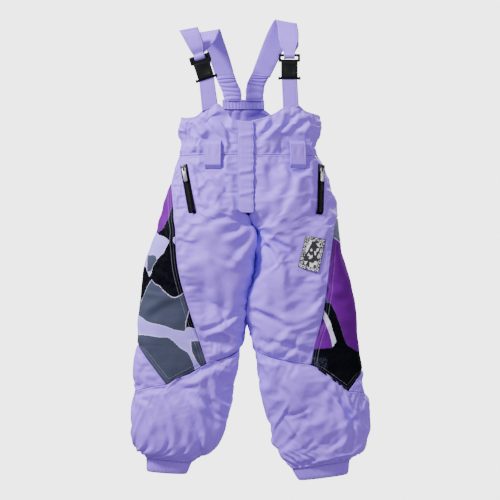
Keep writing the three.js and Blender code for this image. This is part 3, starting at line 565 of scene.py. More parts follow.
def line(finish, value, points):
    """A value that runs straight between (place, value) points, in millimetres."""
    made = finish.nodes.new("ShaderNodeFloatCurve")
    places = [p[0] for p in points]
    values = [p[1] for p in points]
    low, high, least, most = min(places), max(places), min(values), max(values)
    made.mapping.use_clip = True
    track = made.mapping.curves[0]
    ready = sorted(((p - low) / (high - low), (v - least) / max(most - least, 1e-6)) for p, v in points)
    track.points[0].location, track.points[1].location = ready[0], ready[-1]
    for place in ready[1:-1]:
        track.points.new(*place)
    for point in track.points:
        point.handle_type = "VECTOR"
    made.mapping.update()
    finish.put(made.inputs["Value"], (value - low / 1000) / ((high - low) / 1000))
    return (Value(finish, made.outputs[0]) * (most - least) + least) / 1000


def torn_place(finish):
    """Across and height, roughened as a torn edge is."""
    (x, _, z), vector = finish.object_place()
    rough = finish.noise(vector, 260, 3, 0.6) - 0.5
    tufts = finish.noise(vector, 620, 2, 0.6) - 0.5
    return x + rough * 0.0035 + tufts * 0.0012, z + tufts * 0.0035 - rough * 0.0016


def print_material(name, paint):
    cloth = Finish(name, IOR=1.3, Specular_IOR_Level=0.1)
    height, crinkle = weave(cloth)
    x, z = torn_place(cloth)
    colour = paint(cloth, x, z)
    sides = cloth.attribute("side_edge")
    _, v, _ = cloth.cloth_place()
    dash = (v * 2640).sine().above(-0.3, 0.3)
    thread = (sides.near(0.0095, 0.00045) * dash).maths("MAXIMUM", sides.near(0.0045, 0.00035) * dash * 0.5)
    seam = sides.below(0.0005, 0.0012)
    colour = cloth.blend(crinkle.above(0.55, 0.25) * 0.012, colour, rgb(150, 146, 175))
    colour = cloth.blend(thread * 0.75, colour, rgb(150, 148, 170))
    # Painted shade: the seam along the sewn border is darkened nearly to black.
    colour = cloth.blend(seam * 0.6, colour, rgb(18, 16, 30))
    height = height + thread * 0.4 - seam - sides.near(0.0095, 0.0008, 0.0012) * 0.4
    return cloth.finish(colour, 0.5 + crinkle * 0.16, height, 0.001)


ink, torn_white, pale = rgb(1, 2, 9), rgb(214, 206, 246), rgb(164, 142, 250)
magenta, slate, stone = rgb(96, 2, 132), rgb(60, 64, 84), rgb(110, 116, 142)


def block(cloth, colour, gap, paint, rim=0.0011):
    """Paints where the gap is over 0, with a torn white rim along the gap's edge."""
    colour = cloth.blend(gap.above(-rim, 0.0003), colour, torn_white)
    return cloth.blend(gap.above(0, 0.0003), colour, paint)


def lesser(*gaps):
    least = gaps[0]
    for gap in gaps[1:]:
        least = least.maths("MINIMUM", gap)
    return least


def paint_right(cloth, x, z):
    """Magenta at the tip, then black, lavender and slate blocks down to the foot."""
    tip = line(cloth, z, [(-334, -158), (-342, -156), (-368, -153), (-378, -154), (-392, -160), (-404, -162),
                          (-412, -168), (-424, -172), (-432, -182), (-440, -240)])
    colour = block(cloth, ink, lesser(tip - x, z + 0.434), magenta, 0)
    left_pale = line(cloth, z, [(-430, -192), (-438, -183), (-441, -173), (-445, -167), (-450, -161),
                                (-458, -165), (-466, -170), (-474, -173), (-484, -184), (-492, -192),
                                (-510, -197), (-522, -202)])
    left_ink = line(cloth, z, [(-430, -260), (-498, -240), (-502, -208), (-518, -201), (-522, -200)])
    colour = block(cloth, colour, lesser(left_pale - x, x - left_ink, -0.431 - z, z + 0.522), pale)
    patch = line(cloth, z, [(-476, -195), (-481, -187), (-488, -186), (-500, -193), (-512, -198)])
    colour = block(cloth, colour, lesser(patch - x, x + 0.206, -0.478 - z, z + 0.511), slate, 0.0004)
    right_pale = line(cloth, z, [(-430, -140), (-436, -144), (-444, -151), (-450, -152), (-456, -149),
                                 (-460, -144), (-470, -139), (-480, -130)])
    colour = block(cloth, colour, lesser(x - right_pale, z + 0.476, -0.434 - z), pale)
    top = line(cloth, x, [(-230, -590), (-222, -580), (-214, -562), (-208, -548), (-202, -536), (-196, -528),
                          (-190, -536), (-180, -540), (-174, -548), (-164, -556), (-156, -562), (-148, -563),
                          (-140, -560), (-132, -554), (-124, -550), (-112, -549), (-90, -549)])
    wedge = line(cloth, z, [(-540, -104), (-552, -110), (-574, -114), (-580, -120), (-604, -126),
                            (-612, -128), (-640, -129)])
    colour = block(cloth, colour, lesser(top - z, wedge - x), slate)
    band = line(cloth, x, [(-240, -599), (-222, -602), (-214, -606), (-206, -612), (-200, -614), (-184, -617),
                           (-170, -620), (-150, -628), (-130, -631), (-124, -622), (-112, -625), (-102, -624),
                           (-90, -628)])
    colour = block(cloth, colour, band - z, pale)
    lower = line(cloth, x, [(-240, -639), (-216, -638), (-200, -639), (-180, -642), (-164, -642),
                            (-154, -648), (-140, -662), (-124, -672), (-118, -682), (-114, -692),
                            (-109, -710), (-100, -740)])
    colour = block(cloth, colour, lower - z, slate)
    right = line(cloth, z, [(-640, -117), (-658, -117), (-672, -115), (-688, -107), (-702, -97), (-740, -70)])
    return block(cloth, colour, lesser(x - right, -0.649 - z), slate)


def paint_left(cloth, x, z):
    """A speckled grey tip, magenta, and black that spreads over the foot past a torn white strip."""
    _, vector = cloth.object_place()
    speckle = cloth.noise(vector, 620, 3, 0.7).above(0.52, 0.06)
    tip = line(cloth, x, [(150, -432), (164, -440), (176, -448), (184, -455), (200, -462)])
    grey = cloth.blend(speckle, stone, rgb(84, 92, 112))
    colour = block(cloth, magenta, z - tip, grey, 0.0016)
    small = line(cloth, z, [(-546, 144), (-554, 149), (-568, 154), (-574, 158), (-580, 144)])
    colour = block(cloth, colour, lesser(small - x, -0.548 - z, z + 0.58), slate, 0.0)
    start = line(cloth, z, [(-572, 150), (-576, 142), (-580, 143), (-596, 152), (-612, 160), (-644, 170),
                            (-650, 172), (-660, 166), (-663, 164), (-665, 128), (-668, 100), (-760, 60)])
    end = line(cloth, z, [(-572, 158), (-576, 162), (-592, 170), (-618, 180), (-644, 188), (-658, 194),
                          (-672, 216), (-680, 244), (-760, 250)])
    colour = block(cloth, colour, lesser(x - start, end - x, -0.573 - z), ink, 0)
    sliver = line(cloth, z, [(-578, 136), (-592, 140), (-600, 144), (-618, 152), (-640, 160), (-658, 164),
                             (-664, 166)])
    colour = block(cloth, colour, lesser(x - sliver, start - x, -0.579 - z, z + 0.663), torn_white, 0)
    worn = cloth.noise(vector, 420, 4, 0.7).above(0.55, 0.05)
    patch = lesser(0.154 - x, -0.682 - z, z + 0.702).above(0.0, 0.003)
    return cloth.blend(patch * worn, colour, slate)


prints = {-1: print_material("print_right", paint_right), 1: print_material("print_left", paint_left)}
for side, word in ((-1, "right"), (1, "left")):
    drawn = print_point(side, *mesh_grid(100, 36))
    points = facing_out(drawn, side)
    piece = grid_piece(f"side_print_{word}", rumple(points, sides=0.0010, top=0, foot=0))
    z = points[..., 2]
    slopes = [np.gradient(edge[side](z), axis=0) / np.gradient(z, axis=0)
              for edge in (print_front, print_back)]
    along = arc(points, 1)
    from_front, from_back = along, along[:, -1:] - along
    if points is not drawn:  # its columns were turned round
        from_front, from_back = from_back, from_front
    nearest = np.minimum(from_front / np.hypot(1, slopes[0]), from_back / np.hypot(1, slopes[1]))
    piece.data.attributes["side_edge"].data.foreach_set("value", nearest.astype(np.float32).ravel())
    make_cloth(piece, prints[side], [f"hip_print_{word}", f"leg_print_{word}"],
               ("torso", f"leg_{word}"))

# --- Lower legs ----------------------------------------------------------------------------------
# One padded tube below each slanting knee seam, gathered at its foot so that it hangs over the cuff.

cuff_top = {-1: -0.890, 1: -0.8994}
for side, word in ((-1, "right"), (1, "left")):
    down, turn = np.mgrid[0:1:48j, -180:180:133j]
    top = knee_seam(side, turn)
    points = section(leg[side], turn, top + down * (cuff_top[side] - 0.001 - top))
    piece = cloth_piece(f"lower_leg_{word}", points, side, wraps=True, sides=0, top=0.0010, foot=0.0020,
                        pleats=0.0042, swell=0.004)
    make_cloth(piece, shell, [f"leg_lower_{word}"], f"leg_{word}")

# --- Cuffs ---------------------------------------------------------------------------------------
# A narrow band of doubled nylon round each ankle, drawn into upright gathers by a knitted elastic
# that is stitched inside it.


def ring_grid(rows, columns):
    turns = np.linspace(-180, 180, columns, endpoint=False)
    return np.meshgrid(np.linspace(0, 1, rows), turns, indexing="ij")


def gathered_tube(shape, top, foot, inset, pitch, height):
    """A tube whose cloth stands in upright gathers, pinched at its two stitched lines."""
    down, turn = ring_grid(9, 240)
    points = section(shape, turn, top + down * (foot - top), inset)
    closed = np.concatenate([points, points[:, :1]], 1)
    along = arc(closed, 1)[:, :-1]
    ripple = np.sin(2 * np.pi * along / pitch + 1.3 * np.sin(along * 45))
    ripple = ripple * (0.7 + 0.3 * np.sin(along * 83 + down * 4))
    rounded = 1 - np.abs(2 * down - 1) ** 4
    lift = height * ripple * (0.55 + 0.45 * rounded) + 0.0012 * rounded - 0.0012
    return closed[:, :-1] + (outward(closed) * np.sign(shape["side"]))[:, :-1] * lift[..., None]


def elastic_material(name):
    """Knitted elastic: covered rubber threads side by side, crossed by the knit."""
    knit = Finish(name, Sheen_Weight=0.3, Sheen_Roughness=0.6)
    u, v, vector = knit.cloth_place()
    rib = (u * 5200).sine() * 0.5 + 0.5
    cross = (v * 4200).sine() * 0.5 + 0.5
    fuzz = knit.noise(vector, 700, 3)
    colour = knit.blend(rib * 0.5 + fuzz * 0.3, rgb(150, 140, 190), rgb(226, 222, 238))
    return knit.finish(colour, 0.7 + fuzz * 0.2, rib * 0.3 + cross * 0.15 + fuzz * 0.1, 0.001)


elastic = elastic_material("knitted_elastic")
for side, word in ((-1, "right"), (1, "left")):
    top = cuff_top[side] - 0.0003
    points = facing_out(gathered_tube(leg[side], top, top - 0.0275, 0.0016, 0.0078, 0.0011), side)
    piece = grid_piece(f"cuff_band_{word}", points, wraps=True)
    make_cloth(piece, shell, [f"cuff_{word}"], f"leg_{word}",
               0.0014, False)
    down, turn = ring_grid(7, 120)
    points = facing_out(section(leg[side], turn, top - 0.0045 - 0.0195 * down, 0.0048), side)
    piece = grid_piece(f"ankle_elastic_{word}", points, wraps=True)
    make_cloth(piece, elastic, [f"cuff_elastic_{word}"], f"leg_{word}",
               0.0012, False)

# --- Bib -----------------------------------------------------------------------------------------
# Two padded front panels either side of the zip and one back panel, sewn to the trousers at the waist.
# The brim dips and rises between the straps, and an elastic inside the waist draws the cloth up.

armhole = -0.198
brims = {
    1: [(-145, 0), (-128, 5), (-110, 4), (-101, -2), (-95, -10), (-62, -24), (-48, -6), (-32, 11), (0, 13),
        (24, 8), (51, -3), (65, -14), (97, -21), (110, -8), (124, -4), (145, 0)],
    -1: [(-145, 0), (-120, 8), (-96, 4), (-79, -3), (-64, -14), (-58, -20.5), (30, -20.5), (36, -14),
         (51, -3), (80, 4), (110, 8), (145, 0)],
}


def brim(face, x):
    """The height of the front or back brim, softened."""
    places, drops = zip(*brims[face])
    spread = [np.interp(x * 1000 + step, places, drops) for step in (-3, 0, 3)]
    return armhole - sum(spread) / 3000


def bib_point(side, across, down, face, last):
    """A point of a bib panel: across runs from the side seam to a given x, or round to the other side."""
    shape = torso[side]
    end = turn_at_x(shape, armhole + 0 * across, last) if face > 0 else -180
    top = brim(face, section(shape, across * end, armhole + 0 * across)[..., 0])
    z = top + down * (waist - top)
    end = turn_at_x(shape, z, last) if face > 0 else -180
    return section(shape, across * end, z)


for side, word in ((-1, "right"), (1, "left")):
    across, down = mesh_grid(26, 38)
    points = bib_point(side, across, down, 1, -0.006 + side * 0.0075)
    piece = cloth_piece(f"bib_panel_{word}", points, side, top=0.0008, foot=0.0042, swell=0.0028)
    make_cloth(piece, shell, [f"bib_front_{word}"], "torso")
across, down = mesh_grid(26, 84)
points = bib_point(-1, across, down, -1, 0)
points = turned_to(points, points * (0, 1, 0))
bib_rear = grid_piece("bib_rear", rumple(points, top=0.0022, foot=0.0030))
make_cloth(bib_rear, shell, ["bib_back"], "torso")

across, down = mesh_grid(10, 60)
turn = -turn_at_x(torso[-1], -0.168 + 0 * across, -0.057 + 0.086 * across)
points = section(torso[-1], turn, -0.1585 - 0.0215 * down, 0.0002)
points = turned_to(points, -forwards)
rounded = 1 - np.abs(2 * down - 1) ** 3
points = points + outward(points) * (0.0012 * rounded + 0.0004 * np.sin(arc(points, 1) * 900))[..., None]
band = grid_piece("back_band", points)
make_cloth(band, shell, ["bib_back_band"], "torso",
           0.0045, False)

across, down = mesh_grid(6, 200)
points = section(torso[-1], 34 - 248 * across, -0.255 - 0.021 * down, 0.0076)
points = turned_to(points, points * (0, 1, 0))
points = points + outward(points) * (0.0005 * np.sin(arc(points, 1) * 1300))[..., None]
piece = grid_piece("waist_band_elastic", points)
make_cloth(piece, elastic, ["waist_elastic"], "torso",
           0.0012, False)

# --- Linings and pocket bags ---------------------------------------------------------------------
# Smooth woven lining hangs free inside the torso and each leg, and two bags hang behind the pocket
# zips between the padding and the lining.


def lining_material():
    """Plain woven lining, quilted in wide diamonds, with painted shade in the quilting lines."""
    cloth = Finish("lining_taffeta", IOR=1.5, Sheen_Weight=0.4, Sheen_Roughness=0.4)
    u, v, _ = cloth.cloth_place()
    rising, falling = (((u + slant) * 62).sine().near(0, 0.03, 0.03) for slant in (v, 0 - v))
    quilt = rising.maths("MAXIMUM", falling)
    height, crinkle = weave(cloth)
    # Painted shade: the quilting lines, where the bump dips, are darkened.
    colour = cloth.blend(quilt * 0.5, rgb(96, 86, 140), rgb(64, 56, 104))
    return cloth.finish(colour, 0.45 + crinkle * 0.2, height - quilt * 1.2, 0.001)


lining = lining_material()
down, turn = np.mgrid[0:1:40j, -180:180:121j]
drawn_in = 0.0137 + 0.008 * ease(down, 0.80, 0.97)
points = facing_out(section(torso[-1], turn, -0.214 - 0.196 * down, drawn_in), -1)
points = points + outward(points) * (0.0010 * roughly(points, 30, 5.5))[..., None]
piece = grid_piece("torso_lining", points[:, :-1], wraps=True)
make_cloth(piece, lining, ["lining_torso"], "torso",
           0.0010, False)
for side, word in ((-1, "right"), (1, "left")):
    down, turn = np.mgrid[0:1:70j, -180:180:97j]
    points = section(leg[side], turn, -0.425 + down * (cuff_top[side] + 0.012 + 0.425), 0.0094)
    points = facing_out(points, side)
    points = points + outward(points) * (0.0008 * roughly(points, 28, 2.5))[..., None]
    piece = grid_piece(f"leg_lining_{word}", points[:, :-1], wraps=True)
    make_cloth(piece, lining, [f"lining_leg_{word}"], ("torso", f"leg_{word}"),
               0.0010, False)
for side, word, top_x, foot_x in ((-1, "right", -0.133, -0.114), (1, "left", 0.143, 0.139)):
    across, down = mesh_grid(24, 14)
    z = -0.302 - 0.076 * down
    x = top_x + down * (foot_x - top_x) + side * (0.002 - 0.048 * across)
    points = facing_out(section(torso[side], turn_at_x(torso[side], z, x), z, 0.0078), side)
    piece = grid_piece(f"pocket_pouch_{word}", points)
    make_cloth(piece, lining, [f"pocket_bag_{word}"], "torso",
               0.0016, False)

# --- Zips ----------------------------------------------------------------------------------------
# Moulded black zips: two pocket zips set into the hips and the front zip behind the flap. Each has a
# woven tape, two rows of chunky meshed teeth, and a die-cast slider with a plate pull.

# Each zip's middle, its directions up and inwards, its length and its width.
zip_seats = {
    "pocket_zip_right": ((-0.12370, -0.04039, -0.34691), (-0.1804, 0.1717, 0.9685), (0.2552, 0.9591, -0.1224),
                         0.102, 0.015),
    "pocket_zip_left": ((0.14141, -0.03296, -0.34688), (0.0385, 0.1905, 0.9809), (-0.4845, 0.8621, -0.1484),
                        0.102, 0.015),
    "front_zip": ((-0.00602, -0.04123, -0.30642), (0.0, 0.0585, 0.9983), (0.0, 0.9983, -0.0585),
                  0.182, 0.026),
}
tooth_size, tooth_pitch, tooth_shift, tooth_stand = (0.0046, 0.0019, 0.0016), 0.00205, 0.0013, 0.00195


def seat_matrix(place, up, inwards):
    """A frame on the cloth: X across, Y inwards and Z up along the piece."""
    z, y = Vector(up).normalized(), Vector(inwards).normalized()
    x = y.cross(z).normalized()
    matrix = np.eye(4)
    matrix[:3, 0], matrix[:3, 1], matrix[:3, 2], matrix[:3, 3] = x, y, z, place
    return matrix


def in_frame(matrix, points):
    return points @ matrix[:3, :3].T + matrix[:3, 3]


def cloth_black(name, threads, base, lit):
    """Black woven tape with a herringbone of fine threads."""
    tape = Finish(name, IOR=1.3, Specular_IOR_Level=0.12)
    u, v, vector = tape.cloth_place()
    bone = (v * threads + (u * 900).sine() * 1.4).sine() * 0.5 + 0.5
    fuzz = tape.noise(vector, 900, 3)
    colour = tape.blend(bone * 0.6 + fuzz * 0.3, base, lit)
    return tape.finish(colour, 0.6 + fuzz * 0.25, bone * 0.25 + fuzz * 0.1, 0.001)


def plastic_material(name, base, lit, roughness, **constants):
    """Moulded plastic with a fine satin grain and faint handling marks."""
    plastic = Finish(name, IOR=1.49, **constants)
    _, vector = plastic.object_place()
    grain = plastic.noise(vector, 1800, 2)
    marks = plastic.noise(vector, 160, 5, 0.65)
    colour = plastic.blend(marks.above(0.58, 0.12) * 0.5, base, lit)
    return plastic.finish(colour, marks * 0.2 + (roughness - 0.06), grain * 0.12 + marks * 0.1, 0.0004)


def metal_material(name):
    """Plated zinc, bright, with duller and darker smears over it and a finely pitted surface."""
    metal = Finish(name, Metallic=1.0)
    _, vector = metal.object_place()
    pits = metal.noise(vector, 700, 4, 0.6)
    smears = metal.noise(vector, 90, 3)
    colour = metal.blend(smears.above(0.5, 0.2) * 0.6, rgb(196, 198, 204), rgb(148, 150, 160))
    return metal.finish(colour, 0.2 + smears * 0.22, pits * 0.25, 0.0004)


def black_metal_material(name):
    """Black enamel on die-cast zinc, with small bright specks as painted glints, made metallic as bare zinc
    worn through.
    """
    metal = Finish(name, IOR=1.5)
    _, vector = metal.object_place()
    # Painted glints: random specks get a bright metal colour, and are also made metallic as worn-through
    # zinc.
    specks = metal.noise(vector, 520, 4, 0.7).above(0.66, 0.02)
    smears = metal.noise(vector, 120, 3)
    colour = metal.blend(specks, rgb(22, 22, 28), rgb(190, 192, 198))
    return metal.finish(colour, 0.24 + smears * 0.2, smears * 0.2, 0.0004, metallic=specks * 0.8 + 0.2)


def apply_all(piece):
    bpy.ops.object.select_all(action="DESELECT")
    piece.select_set(True)
    bpy.context.view_layer.objects.active = piece
    for modifier in list(piece.modifiers):
        bpy.ops.object.modifier_apply(modifier=modifier.name)


def finished_copy(node, name, bevel, rejoined=True):
    """A copy of a hard CAD node with its edges rounded and, where they have no hole, its faces rejoined."""
    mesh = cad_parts[node].data.copy()
    piece = bpy.data.objects.new(name, mesh)
    bpy.context.scene.collection.objects.link(piece)
    mesh.materials.clear()
    bpy.ops.object.select_all(action="DESELECT")
    piece.select_set(True)
    bpy.context.view_layer.objects.active = piece
    bpy.ops.object.mode_set(mode="EDIT")
    bpy.ops.mesh.select_all(action="SELECT")
    bpy.ops.mesh.remove_doubles(threshold=0.00001)
    if rejoined:
        bpy.ops.mesh.dissolve_limited(angle_limit=math.radians(1))
    bpy.ops.object.mode_set(mode="OBJECT")
    rounding = piece.modifiers.new("Rounding", "BEVEL")
    rounding.width, rounding.segments = bevel, 2
    rounding.limit_method, rounding.angle_limit = "ANGLE", math.radians(30)
    apply_all(piece)
    bpy.ops.object.shade_smooth_by_angle(angle=math.radians(38))
    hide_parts(node)
    return piece


def tooth_row(name, matrix, length):
    """Meshed teeth down the middle of a zip, from one bevelled block repeated on alternate sides."""
    bpy.ops.mesh.primitive_cube_add(size=1, location=(0, 0, 0))
    tooth = bpy.context.active_object
    tooth.scale = tooth_size
    bpy.ops.object.transform_apply(location=False, rotation=False, scale=True)
    soft = tooth.modifiers.new("Soft", "BEVEL")
    soft.width, soft.segments = 0.0004, 1
    apply_all(tooth)
    block = np.array([v.co for v in tooth.data.vertices])
    faces = [list(p.vertices) for p in tooth.data.polygons]
    bpy.data.objects.remove(tooth)
    points, polygons = [], []
    chain = length - 0.004
    for i in range(int(chain / tooth_pitch)):
        start = len(points) * len(block)
        across = tooth_shift if i % 2 else -tooth_shift
        shift = np.array((across, -tooth_stand, chain / 2 - 0.001 - i * tooth_pitch))
        points.append(in_frame(matrix, block + shift))
        polygons += [[start + k for k in face] for face in faces]
    mesh = bpy.data.meshes.new(name)
    mesh.from_pydata(np.concatenate(points).tolist(), [], polygons)
    piece = bpy.data.objects.new(name, mesh)
    bpy.context.scene.collection.objects.link(piece)
    return piece


tape_black = cloth_black("woven_black_tape", 4200, rgb(2, 2, 4), rgb(12, 12, 16))
teeth_black = plastic_material("black_teeth", rgb(3, 3, 5), rgb(16, 16, 20), 0.3)
plated, enamel = metal_material("plated_zinc"), black_metal_material("black_enamel")
for word, (place, up, inwards, length, width) in zip_seats.items():
    matrix = seat_matrix(place, up, inwards)
    across, down = mesh_grid(60, 12)
    x = (across - 0.5) * width
    bead = 0.0006 * np.exp(-((np.abs(x) - 0.0045) / 0.0008) ** 2)
    tucked = 0.0035 * ease(down, 0.93, 0.985)
    points = in_frame(matrix, np.stack([x, tucked - 0.0006 - bead, (0.5 - down) * length], -1))
    points = turned_to(points, forwards)
    tape = grid_piece(f"{word}_ribbon", points)
    make_cloth(tape, tape_black, [f"{word}_tape"], "torso",
               0.0006, False)
    teeth = tooth_row(f"{word}_chain", matrix, length)
    teeth.data.materials.append(teeth_black)
    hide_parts(f"{word}_teeth")
    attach(teeth, "torso")
    for part, finish in (("slider", enamel), ("pull", plated)):
        piece = finished_copy(f"{word}_{part}", f"{word}_{part}_cast", 0.00022)
        piece.data.materials.append(finish)
        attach(piece, f"{word}_{part}")

# --- Front flap ----------------------------------------------------------------------------------
# A folded double strip of nylon that covers the front zip. It is sewn down one edge, where it opens,
# and its free edge is puckered by the topstitching.

across, down = mesh_grid(84, 16)
foot = -0.395 + 0.007 * np.clip(1 - across / 0.35, 0, 1) ** 2
z = -0.212 + down * (foot + 0.212)
x = -0.023 + 0.031 * across + 0.0006 * np.sin(z * 210)
points = section(torso[-1], turn_at_x(torso[-1], z, x), z, -0.0037)
points = turned_to(points, forwards)
along, height = arc(points, 1), arc(points, 0)
rim = np.minimum(np.minimum(along, along[:, -1:] - along), np.minimum(height, height[-1:] - height))
ripple = np.sin(height * 460 + 2 * np.sin(height * 90)) * np.exp(-along / 0.012)
lift = 0.0008 * ease(rim, 0, 0.004) + 0.0007 * ripple
for place, tall in ((0.026, 0.0016), (0.098, 0.0020), (0.106, -0.0010), (0.142, 0.0018), (0.150, -0.0008)):
    lift = lift + tall * np.exp(-((height - place - 0.15 * along) / 0.0035) ** 2) * ease(rim, 0, 0.005)
flap = grid_piece("zip_flap", points + outward(points) * lift[..., None])
make_cloth(flap, shell, ["front_flap"], "front_flap",
           0.0030, False)

# --- Belt loops ----------------------------------------------------------------------------------
# A wide loop of doubled nylon over each side of the waist seam, sewn down in a rectangle at each end.

loop_seats = {"right": ((-0.07304, -0.04392, -0.27797), (0.1088, 0.9919, -0.066)),
              "left": ((0.09448, -0.04060, -0.27783), (-0.2589, 0.9612, -0.0947))}
for word, (place, inwards) in loop_seats.items():
    y = Vector(inwards).normalized()
    up = (Vector((0, 0, 1)) - y * y.z).normalized()
    matrix = seat_matrix(place, up, y)
    across, down = mesh_grid(40, 18)
    height = (0.5 - down) * 0.056
    out = 0.0010 + 0.0056 * ease(np.abs(height), 0.0275, 0.0200)
    x = (across - 0.5) * 0.033
    out = out + 0.0005 * np.sin(x * 420) * np.exp(-((height - 0.004) / 0.008) ** 2)
    points = in_frame(matrix, np.stack([x, -out, height], -1))
    points = turned_to(points, forwards)
    piece = grid_piece(f"loop_{word}", points)
    make_cloth(piece, shell, [f"belt_loop_{word}"], "torso",
               0.0014, False)

# --- Straps --------------------------------------------------------------------------------------
# Doubled nylon straps, topstitched down both edges. Each leaves an elastic gather on the back, crosses
# the shoulder, narrows to turn round the buckle's ladder bar and ends in a hemmed tail.

buckle_seats = {"right": ((-0.092, -0.040, -0.110), -18), "left": ((0.0785, -0.040, -0.109), 0)}
ladder_bar, strap_turn, strap_drop, strap_bunched = 0.0289, 0.0047, 0.0066, 0.0216


def buckle_matrix(word):
    place, lean = buckle_seats[word]
    turn = math.radians(lean)
    matrix = np.eye(4)
    matrix[:3, 0] = (math.cos(turn), 0, -math.sin(turn))
    matrix[:3, 2] = (math.sin(turn), 0, math.cos(turn))
    matrix[:3, 3] = place
    return matrix


def between(a, b, start, end, s):
    return (end - s) / (end - start) * a + (s - start) / (end - start) * b


def through(stations, rows):
    """Points on a smooth line through stations, closer together where they are."""
    knots = np.asarray(stations, float)
    ends = np.concatenate([[2 * knots[0] - knots[1]], knots, [2 * knots[-1] - knots[-2]]])
    gaps = np.linalg.norm(np.diff(ends.reshape(len(ends), -1), axis=0), axis=1) ** 0.5
    t = np.concatenate([[0], np.cumsum(gaps)])
    where = np.interp(np.linspace(0, 1, rows), np.linspace(0, 1, len(knots)), t[1:-1])
    made = []
    for s in where:
        i = int(np.clip(np.searchsorted(t, s, side="right") - 1, 1, len(knots) - 1))
        p, q = ends[i - 1:i + 3], t[i - 1:i + 3]
        a = [between(p[k], p[k + 1], q[k], q[k + 1], s) for k in range(3)]
        b = [between(a[k], a[k + 1], q[k], q[k + 2], s) for k in range(2)]
        made.append(between(b[0], b[1], q[1], q[2], s))
    return np.array(made)


def stations_of(rows):
    """Pairs of edge points, in metres, from (x, z, x, z, y) in millimetres."""
    return [[tuple(c / 1000 for c in (xa, y, za)), tuple(c / 1000 for c in (xb, y, zb))]
            for xa, za, xb, zb, y in rows]


def ladder_turn(word, tail_side):
    """The strap's way down one side of the ladder bar and up the other."""
    made = []
    for angle in (50, 0, -45, -90, -135, -180, -230):
        turn = math.radians(angle)
        height = strap_drop if turn < 0 else strap_turn
        y, z = -tail_side * strap_turn * math.cos(turn), ladder_bar + height * math.sin(turn)
        edges = np.array([(-strap_bunched / 2, y, z), (strap_bunched / 2, y, z)])
        made.append(in_frame(buckle_matrix(word), edges).tolist())
    return made


def strap_grid(stations, rows, columns=12):
    edges = through(stations, rows)
    share = np.linspace(0, 1, columns + 1)[None, :, None]
    return edges[:, :1] * (1 - share) + edges[:, 1:] * share


strap_ways = {
    "right": {
        "gather": [(-53, -163, -17, -163, 37), (-58, -142, -18, -142, 36.5), (-67, -122, -27, -121, 34),
                   (-71, -111, -31, -109, 32)],
        "fold": [(-70, -115, -31, -113, 32.6), (-80, -84, -40, -80, 26), (-95, -44, -55, -36, 13),
                 (-101, -28, -61, -21, 0), (-99, -38, -65, -34, -15), (-98, -56, -72, -52, -30)],
        "tail": [(-120, -70, -92, -62, -47), (-131, -50, -97, -43, -48), (-141, -32, -104, -25, -46)],
        "foot": [(-95.5, -192, -64, -180, -36.6)],
        "tail_side": -1,
    },
    "left": {
        "gather": [(-10, -163, 27, -163, 37), (-7, -128, 31, -130, 36.5), (0, -112, 38, -116, 34),
                   (4, -104, 42, -110, 32)],
        "fold": [(3, -108.5, 41, -114, 32.6), (15, -76, 56, -84, 26), (37, -22, 82, -30, 12),
                 (50, -2, 93, -10, 0), (55, -16, 96, -22, -18), (58, -48, 97, -48, -34)],
        "tail": [(60, -60, 97, -60, -33), (60, -44, 96, -44, -29)],
        "foot": [(66, -189, 97.5, -184, -36.4)],
        "tail_side": 1,
    },
}


def ribbon_piece(name, points, wave=0.0004):
    along, down = arc(points, 1), arc(points, 0)
    edge = np.minimum(along, along[:, -1:] - along)
    ripple = np.sin(down * 190 + 1.6 * np.sin(down * 47)) * np.exp(-edge / 0.007)
    lift = wave * ripple + 0.0003 * ease(edge, 0, 0.004)
    return grid_piece(name, points + outward(points) * lift[..., None])


def gather_grid(stations, rows, columns):
    """A flat tube of cloth round the back elastic, drawn up into level ruches."""
    edges = through(stations, rows)
    middle = (edges[:, 0] + edges[:, 1]) / 2
    half = (edges[:, 1] - edges[:, 0]) / 2
    width = np.linalg.norm(half, axis=1, keepdims=True)
    normal = np.cross(np.gradient(middle, axis=0), half)
    normal /= np.linalg.norm(normal, axis=1, keepdims=True)
    angle = np.linspace(0, 2 * np.pi, columns, endpoint=False)[None, :]
    share = np.linspace(0, 1, rows)[:, None]
    ruche = np.abs(np.sin(np.pi * (share * 6.5 + 0.16 * np.sin(angle * 2 + share * 9)))) ** 0.8
    pinch = ease(share, 0, 0.08) * ease(share, 1, 0.92)
    depth = 0.0022 + 0.0016 * ruche * pinch
    side = power(np.cos(angle), 0.75) * (width - 0.0008 + 0.0008 * ruche * pinch)
    out = power(np.sin(angle), 0.75) * depth
    return middle[:, None] + (half / width)[:, None] * side[..., None] + normal[:, None] * out[..., None]


